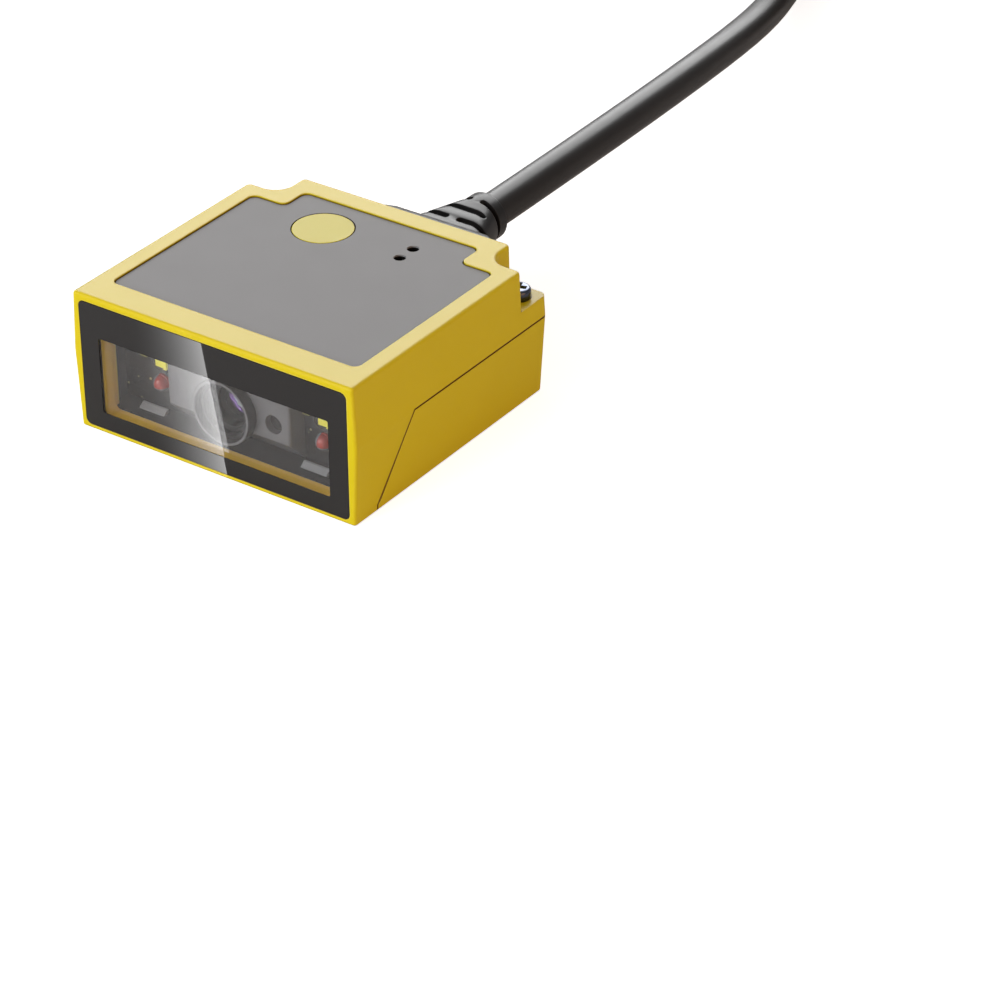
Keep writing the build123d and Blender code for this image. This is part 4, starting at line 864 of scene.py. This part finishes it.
def new_material(name):
    """New material, its node tree and its Principled shader."""
    material = bpy.data.materials.new(name)
    material.use_nodes = True
    tree = material.node_tree
    return material, tree, tree.nodes["Principled BSDF"]


def bump(tree, height, distance, normal=None):
    """Normal raised by height, where full height is distance."""
    inputs = {"Height": height, "Distance": distance * MM, "Strength": BUMP_STRENGTH}
    if normal is not None:
        inputs["Normal"] = normal
    return node(tree, "ShaderNodeBump", inputs).outputs[0]


def moulded(name, tint, roughness, clouding=0.04, grain=0.25, depth=0.01, edge=0.15,
            edge_highlight_tint=None, spread=0.06, shades=(), glow=None, **constants):
    """Moulded plastic or rubber, with softened edges if edge is over nothing, and a painted
    highlight along them in the edge tint, if one is given.

    Each of the shades is a group, its inputs and the tint that it lays over the plastic: painted
    shade, painted light, a painted highlight, or a real mark such as the seam.
    A glow is a painted glow: the colour that shines where no shade lies.
    """
    material, tree, shader = new_material(name)
    look = node(
        tree, "ShaderNodeGroup",
        {"Tint": (*tint, 1.0), "Clouding": clouding, "Grain mm": grain,
         "Roughness": roughness, "Gloss spread": spread},
        node_tree=MOULDED,
    ).outputs
    colour = look["Color"]
    normal = None
    if edge:
        soft = node(
            tree, "ShaderNodeGroup", {"Radius": edge * MM}, node_tree=SOFT_EDGE
        ).outputs
        normal = soft["Normal"]
        # Painted highlight along the edges
        if edge_highlight_tint:
            colour = mix(tree, soft["Edge"], colour, (*edge_highlight_tint, 1.0))
    for group, inputs, laid in shades:
        shade = node(tree, "ShaderNodeGroup", inputs, node_tree=group).outputs["Shade"]
        colour = mix(tree, shade, colour, (*laid, 1.0))
        # Painted glow, kept off where a shade lies
        if glow:
            join(tree, shader, Emission_Color=mix(tree, shade, (*glow, 1.0), BLACK))
    join(
        tree, shader, Base_Color=colour, Roughness=look["Roughness"],
        Normal=bump(tree, look["Grain"], depth, normal),
    )
    set_values(shader, **constants)
    return material


def metal(name, tint, roughness, streak=0.2, staining=0.1, depth=0.004):
    """Machined or plated metal."""
    material, tree, shader = new_material(name)
    look = node(
        tree, "ShaderNodeGroup",
        {"Tint": (*tint, 1.0), "Streak mm": streak, "Roughness": roughness,
         "Staining": staining},
        node_tree=METAL,
    ).outputs
    set_values(shader, Metallic=1.0)
    join(
        tree, shader, Base_Color=look["Color"], Roughness=look["Roughness"],
        Normal=bump(tree, look["Grain"], depth),
    )
    return material


def circuit(name, **changes):
    """Circuit board, green unless its mask and tracks are given."""
    material, tree, shader = new_material(name)
    look = node(tree, "ShaderNodeGroup", changes, node_tree=CIRCUIT).outputs
    join(
        tree, shader, Base_Color=look["Color"], Roughness=look["Roughness"],
        Metallic=look["Metal"], Normal=bump(tree, look["Relief"], TRACK_RELIEF),
    )
    return material


def see_through(name, tint, roughness, ior, passing, film=0.0, gloss=0.5):
    """Clear part, coated if film is over nothing, whose shadow has the colour in passing."""
    material, tree, shader = new_material(name)
    look = node(
        tree, "ShaderNodeGroup",
        {"Tint": (*tint, 1.0), "Clouding": 0.02, "Grain mm": 0.6,
         "Roughness": roughness, "Gloss spread": roughness / 2},
        node_tree=MOULDED,
    ).outputs
    join(tree, shader, Base_Color=look["Color"], Roughness=look["Roughness"])
    set_values(shader, IOR=ior, Transmission_Weight=1.0, Specular_IOR_Level=gloss)
    if film:
        set_values(shader, Thin_Film_Thickness=film, Thin_Film_IOR=FILM_INDEX)
    clear = node(tree, "ShaderNodeBsdfTransparent", {"Color": (*passing, 1.0)}).outputs[0]
    shadow = node(tree, "ShaderNodeLightPath").outputs["Is Shadow Ray"]
    both = node(tree, "ShaderNodeMixShader", {0: shadow, 1: shader.outputs[0], 2: clear})
    join(tree, tree.nodes["Material Output"], Surface=both.outputs[0])
    return material


def core_sheaths():
    """Sheaths of the four cores: red, green, white and black by their place in the bundle."""
    material, tree, shader = new_material("Coloured core sheaths")
    axes = axes_from(tree, (0.0, 0.0, CABLE_HEIGHT))
    right = math_node(tree, "GREATER_THAN", axes["X"], 0.0)
    # The cores leave the connector side by side, so the outer two are the lower pair
    lower = math_node(tree, "LESS_THAN", axes["Z"], 0.0)
    low_pair = mix(tree, right, (0.55, 0.02, 0.02, 1.0), (0.02, 0.25, 0.05, 1.0))
    high_pair = mix(tree, right, (0.75, 0.75, 0.72, 1.0), (0.03, 0.03, 0.03, 1.0))
    tint = mix(tree, lower, high_pair, low_pair)
    look = node(tree, "ShaderNodeGroup", {"Tint": tint}, node_tree=MOULDED).outputs
    join(
        tree, shader, Base_Color=look["Color"], Roughness=look["Roughness"],
        Normal=bump(tree, look["Grain"], 0.01),
    )
    return material


# Every material of the reader, by the name of its slot
materials = {
    # Painted highlight along the edges, painted shade in corners and down the indicator holes, the
    # dark seam line, and painted light in the window recess
    "shell_yellow": moulded(
        "Yellow shell plastic", (0.74, 0.595, 0.01), 0.36, clouding=0.02, grain=0.3,
        depth=0.003, edge=0.25, edge_highlight_tint=(0.86, 0.72, 0.10), spread=0.04,
        shades=((CORNERS, {}, (0.16, 0.09, 0.0)), (SEAM, {}, (0.20, 0.10, 0.0)),
                (WELLS, {}, (0.004, 0.004, 0.004)), (RECESS, {}, (0.98, 0.64, 0.08))),
        Specular_IOR_Level=0.15),
    # Painted shade in the key's corners and grooves
    "key_yellow": moulded(
        "Yellow key plastic", (0.67, 0.59, 0.02), 0.38, clouding=0.02, grain=0.2,
        depth=0.003, edge=0.1, spread=0.04, shades=((CORNERS, {}, (0.16, 0.10, 0.01)),),
        Specular_IOR_Level=0.11),
    # Painted shade in the label's corners and groove
    "label_grey": moulded(
        "Grey label film", (0.260, 0.266, 0.277), 0.42, clouding=0.03, grain=0.14,
        depth=0.003, edge=0.0, spread=0.03, shades=((CORNERS, {}, (0.05, 0.035, 0.015)),),
        Specular_IOR_Level=0.05),
    "print_black": moulded(
        "Black window print", (0.014, 0.014, 0.015), 0.02, clouding=0.1, grain=0.5,
        depth=0.0001, edge=0.0, spread=0.005),
    "foam_black": moulded(
        "Black foam tape", (0.02, 0.02, 0.02), 0.85, clouding=0.2, grain=0.3,
        depth=0.02, edge=0.0),
    "shroud_black": moulded(
        "Black shroud plastic", (0.007, 0.007, 0.0075), 0.55, clouding=0.1, grain=0.8,
        depth=0.001, edge=0.0, Specular_IOR_Level=0.0),
    # Painted highlight on the front rim of the barrel
    "barrel_black": moulded(
        "Black lens barrel", (0.012, 0.012, 0.013), 0.34, clouding=0.1, grain=0.3,
        depth=0.001, edge=0.1, shades=((RIM_HIGHLIGHT, {}, (0.17, 0.17, 0.175)),),
        Specular_IOR_Level=0.3),
    "engine_grey": moulded(
        "Grey engine casting", (0.185, 0.185, 0.19), 0.42, clouding=0.08, grain=0.35,
        depth=0.004, edge=0.15),
    "package_black": moulded(
        "Black component plastic", (0.025, 0.025, 0.026), 0.55, clouding=0.1, grain=0.1,
        depth=0.01, edge=0.08),
    "reflector_white": moulded(
        "Pale reflector strip", (0.36, 0.37, 0.38), 0.25, clouding=0.05, grain=0.4,
        depth=0.01, edge=0.06),
    # The phosphor has a painted glow, and is dark grey left of and under the glowing part
    "lamp_yellow": moulded(
        "Yellow lamp phosphor with painted glow", (0.78, 0.72, 0.06), 0.3, clouding=0.08, grain=0.15,
        depth=0.01, edge=0.05, shades=((LAMP_CORNER, {}, (0.05, 0.05, 0.055)),),
        glow=(0.9, 0.85, 0.1), Emission_Strength=0.35),
    "lamp_dim": moulded(
        "Unlit lamp phosphor", (0.30, 0.28, 0.05), 0.3, clouding=0.08, grain=0.15,
        depth=0.004, edge=0.05),
    "cable_black": moulded(
        "Black cable jacket", (0.024, 0.024, 0.025), 0.34, clouding=0.1, grain=0.5,
        depth=0.004, edge=0.0, spread=0.05, Specular_IOR_Level=0.2),
    # Painted shade in the boot's slots and corners
    "relief_black": moulded(
        "Black boot rubber", (0.013, 0.013, 0.014), 0.34, clouding=0.1, grain=0.3,
        depth=0.004, edge=0.2, spread=0.05, shades=((CORNERS, {}, (0.003, 0.003, 0.003)),),
        Specular_IOR_Level=0.16),
    "plug_black": moulded(
        "Black plug plastic", (0.022, 0.022, 0.023), 0.42, clouding=0.08, grain=0.3,
        depth=0.006, edge=0.3, Specular_IOR_Level=0.3),
    "connector_ivory": moulded(
        "Ivory connector plastic", (0.62, 0.58, 0.46), 0.45, clouding=0.05, grain=0.2,
        depth=0.01, edge=0.06),
    "flex_amber": moulded(
        "Amber flexible film", (0.42, 0.19, 0.03), 0.25, clouding=0.15, grain=0.5,
        depth=0.004, edge=0.0),
    "lamp_red": moulded(
        "Red lamp dome", (0.50, 0.035, 0.02), 0.12, clouding=0.1, grain=0.3, depth=0.002,
        edge=0.0, Coat_Weight=0.6,
        shades=((LAMP_CORNER, {"Height": 7.1 * MM, "Left": -0.4 * MM, "Low": -0.4 * MM},
                 (0.22, 0.23, 0.25)),)),
    "sensor_dark": moulded(
        "Dark sensor glass", (0.02, 0.02, 0.05), 0.05, clouding=0.1, grain=0.3,
        depth=0.001, edge=0.0, Coat_Weight=0.6, Coat_Tint=(0.7, 0.7, 1.0, 1.0)),
    "brass": metal("Turned brass", (0.80, 0.58, 0.26), 0.28),
    "screw_black": metal("Blackened screw steel", (0.085, 0.095, 0.125), 0.26, depth=0.003),
    "screw_steel": metal("Plated screw steel", (0.55, 0.55, 0.56), 0.3),
    "plated_steel": metal("Plated plug shell", (0.66, 0.66, 0.67), 0.22, staining=0.06),
    "contact_gold": metal("Gold contacts", (0.90, 0.68, 0.28), 0.2, staining=0.05),
    "board_green": circuit("Green circuit board"),
    "board_black": circuit(
        "Black lamp board", Mask=(0.014, 0.014, 0.016, 1.0), Track=(0.022, 0.022, 0.025, 1.0)),
    "window_clear": see_through(
        "Tinted window pane", (0.72, 0.72, 0.73), 0.015, 1.5, (0.62, 0.62, 0.63), gloss=0.2),
    "lens_glass": see_through(
        "Coated lens glass", (0.60, 0.66, 0.72), 0.01, 1.75, (0.8, 0.85, 0.9),
        film=LENS_FILM, gloss=0.9),
    "lens_clear": see_through(
        "Clear lens", (0.35, 0.35, 0.35), 0.02, 1.5, (0.6, 0.6, 0.6), gloss=0.3),
    "pipe_clear": see_through(
        "Smoked light pipe", (0.12, 0.12, 0.12), 0.08, 1.5, (0.1, 0.1, 0.1)),
    "core_sheath": core_sheaths(),
}

# Pieces that look different from the others in their slot
OWN_LOOKS = {
    "scan_key": "key_yellow",
    "side_lamps": "lamp_dim",
    "lamp_board_left": "board_black",
    "lamp_board_right": "board_black",
}


def dress(piece, look):
    """Gives the piece this one of the materials, and no other."""
    piece.data.materials.clear()
    piece.data.materials.append(materials[look])


look_of = {part["node"]: part["material_slot"] for part in frame["record"]["subparts"]}
look_of.update(OWN_LOOKS)
for name, piece in nodes.items():
    dress(piece, look_of[name])
for screw in screws:
    dress(screw, "screw_black")
dress(relief, "relief_black")
dress(cable, "cable_black")


# Floor, light and surroundings

# Size in metres, and how far the floor lies under the reader
FLOOR_SIZE = 6.0
FLOOR_DROP = 0.05
FLOOR_TINT = (0.86, 0.86, 0.86, 1.0)
FLOOR_GLOW = 0.76

# Strength of the surroundings as a light, where 1 is that with which they are seen
AMBIENT = 0.3

# Name, place in metres, width and height in metres, brightness, tint, and whether matt
# surfaces see it
LIGHTS = (
    ("key light", (-0.45, -1.05, 0.52), 0.9, 0.9, 4.6, (1.0, 1.0, 1.0), True),
    ("right fill", (1.05, -0.2, 0.5), 0.8, 0.8, 1.8, (1.0, 0.5, 0.2), True),
    ("rear card", (-0.52, 0.75, 0.57), 1.3, 0.8, 7.6, (1.0, 1.0, 1.0), False),
)

# The card's sharp edge is the line where X is CARD_SLOPE times Y plus CARD_START. From there it
# fades over CARD_FADE, by CARD_FALL as the power of what is left of the way
CARD_CORNERS = ((2.0, -23.4), (-91.0, -118.6), (-151.0, -118.6), (-61.0, -23.4))
CARD_HEIGHT = 0.1
CARD_SLOPE = 0.977
CARD_START = 24.86
CARD_FADE = 16.0
CARD_FALL = 2.75
CARD_LEVEL = 6.2


def background_rays(tree):
    """1 for camera and transmission rays, which see the background, and 0 for others."""
    path = node(tree, "ShaderNodeLightPath").outputs
    return math_node(tree, "MAXIMUM", path["Is Camera Ray"], path["Is Transmission Ray"])


def add_floor():
    """White floor that keeps the reader's soft shadow."""
    bpy.ops.object.select_all(action="DESELECT")
    bpy.ops.mesh.primitive_plane_add(size=FLOOR_SIZE, location=(0.0, 0.0, -FLOOR_DROP * MM))
    floor = bpy.context.object
    floor.name = "floor"
    material, tree, shader = new_material("Pale floor")
    set_values(
        shader, Base_Color=FLOOR_TINT, Roughness=1.0, Specular_IOR_Level=0.0,
        Emission_Color=WHITE,
    )
    glow = math_node(tree, "MULTIPLY", background_rays(tree), FLOOR_GLOW)
    join(tree, shader, Emission_Strength=glow)
    floor.data.materials.append(material)


def add_world():
    """White surroundings, at full white where they are seen and dimmer as a light."""
    world = bpy.data.worlds.new("surroundings")
    world.use_nodes = True
    tree = world.node_tree
    backdrop = tree.nodes["Background"]
    set_values(backdrop, Color=WHITE)
    level = math_node(tree, "MULTIPLY_ADD", background_rays(tree), 1.0 - AMBIENT, AMBIENT)
    join(tree, backdrop, Strength=level)
    bpy.context.scene.world = world


def add_soft_light(name, place, width, height, level, tint, diffuse):
    """Large soft light of this brightness, aimed at the reader."""
    data = bpy.data.lights.new(name, "AREA")
    data.shape = "RECTANGLE"
    data.size = width
    data.size_y = height
    data.energy = level * math.pi * width * height
    data.color = tint
    light = bpy.data.objects.new(name, data)
    light.location = place
    light.rotation_euler = (-Vector(place)).to_track_quat("-Z", "Y").to_euler()
    light.visible_camera = False
    light.visible_diffuse = diffuse
    bpy.context.scene.collection.objects.link(light)


def add_floor_card():
    """Bright card in front of the window, seen only as the slanting gloss across its left half."""
    mesh = bpy.data.meshes.new("gloss_card")
    corners = [in_metres((x, y, CARD_HEIGHT)) for x, y in CARD_CORNERS]
    mesh.from_pydata(corners, [], [(0, 1, 2, 3)])
    card = bpy.data.objects.new("gloss_card", mesh)
    bpy.context.scene.collection.objects.link(card)
    material, tree, shader = new_material("Gloss card")
    tree.nodes.remove(shader)
    axes = axes_from(tree)
    edge = math_node(tree, "MULTIPLY_ADD", axes["Y"], CARD_SLOPE, CARD_START * MM)
    inside = math_node(tree, "SUBTRACT", edge, axes["X"])
    fade = ramp(tree, inside, CARD_FADE * MM, 0.0)
    level = math_node(tree, "MULTIPLY", math_node(tree, "POWER", fade, CARD_FALL), CARD_LEVEL)
    glow = node(tree, "ShaderNodeEmission", {"Strength": level}).outputs[0]
    clear = node(tree, "ShaderNodeBsdfTransparent").outputs[0]
    both = node(tree, "ShaderNodeAddShader", {0: glow, 1: clear})
    join(tree, tree.nodes["Material Output"], Surface=both.outputs[0])
    mesh.materials.append(material)
    card.visible_camera = False
    card.visible_diffuse = False
    card.visible_shadow = False


add_floor()
add_world()
for light in LIGHTS:
    add_soft_light(*light)
add_floor_card()
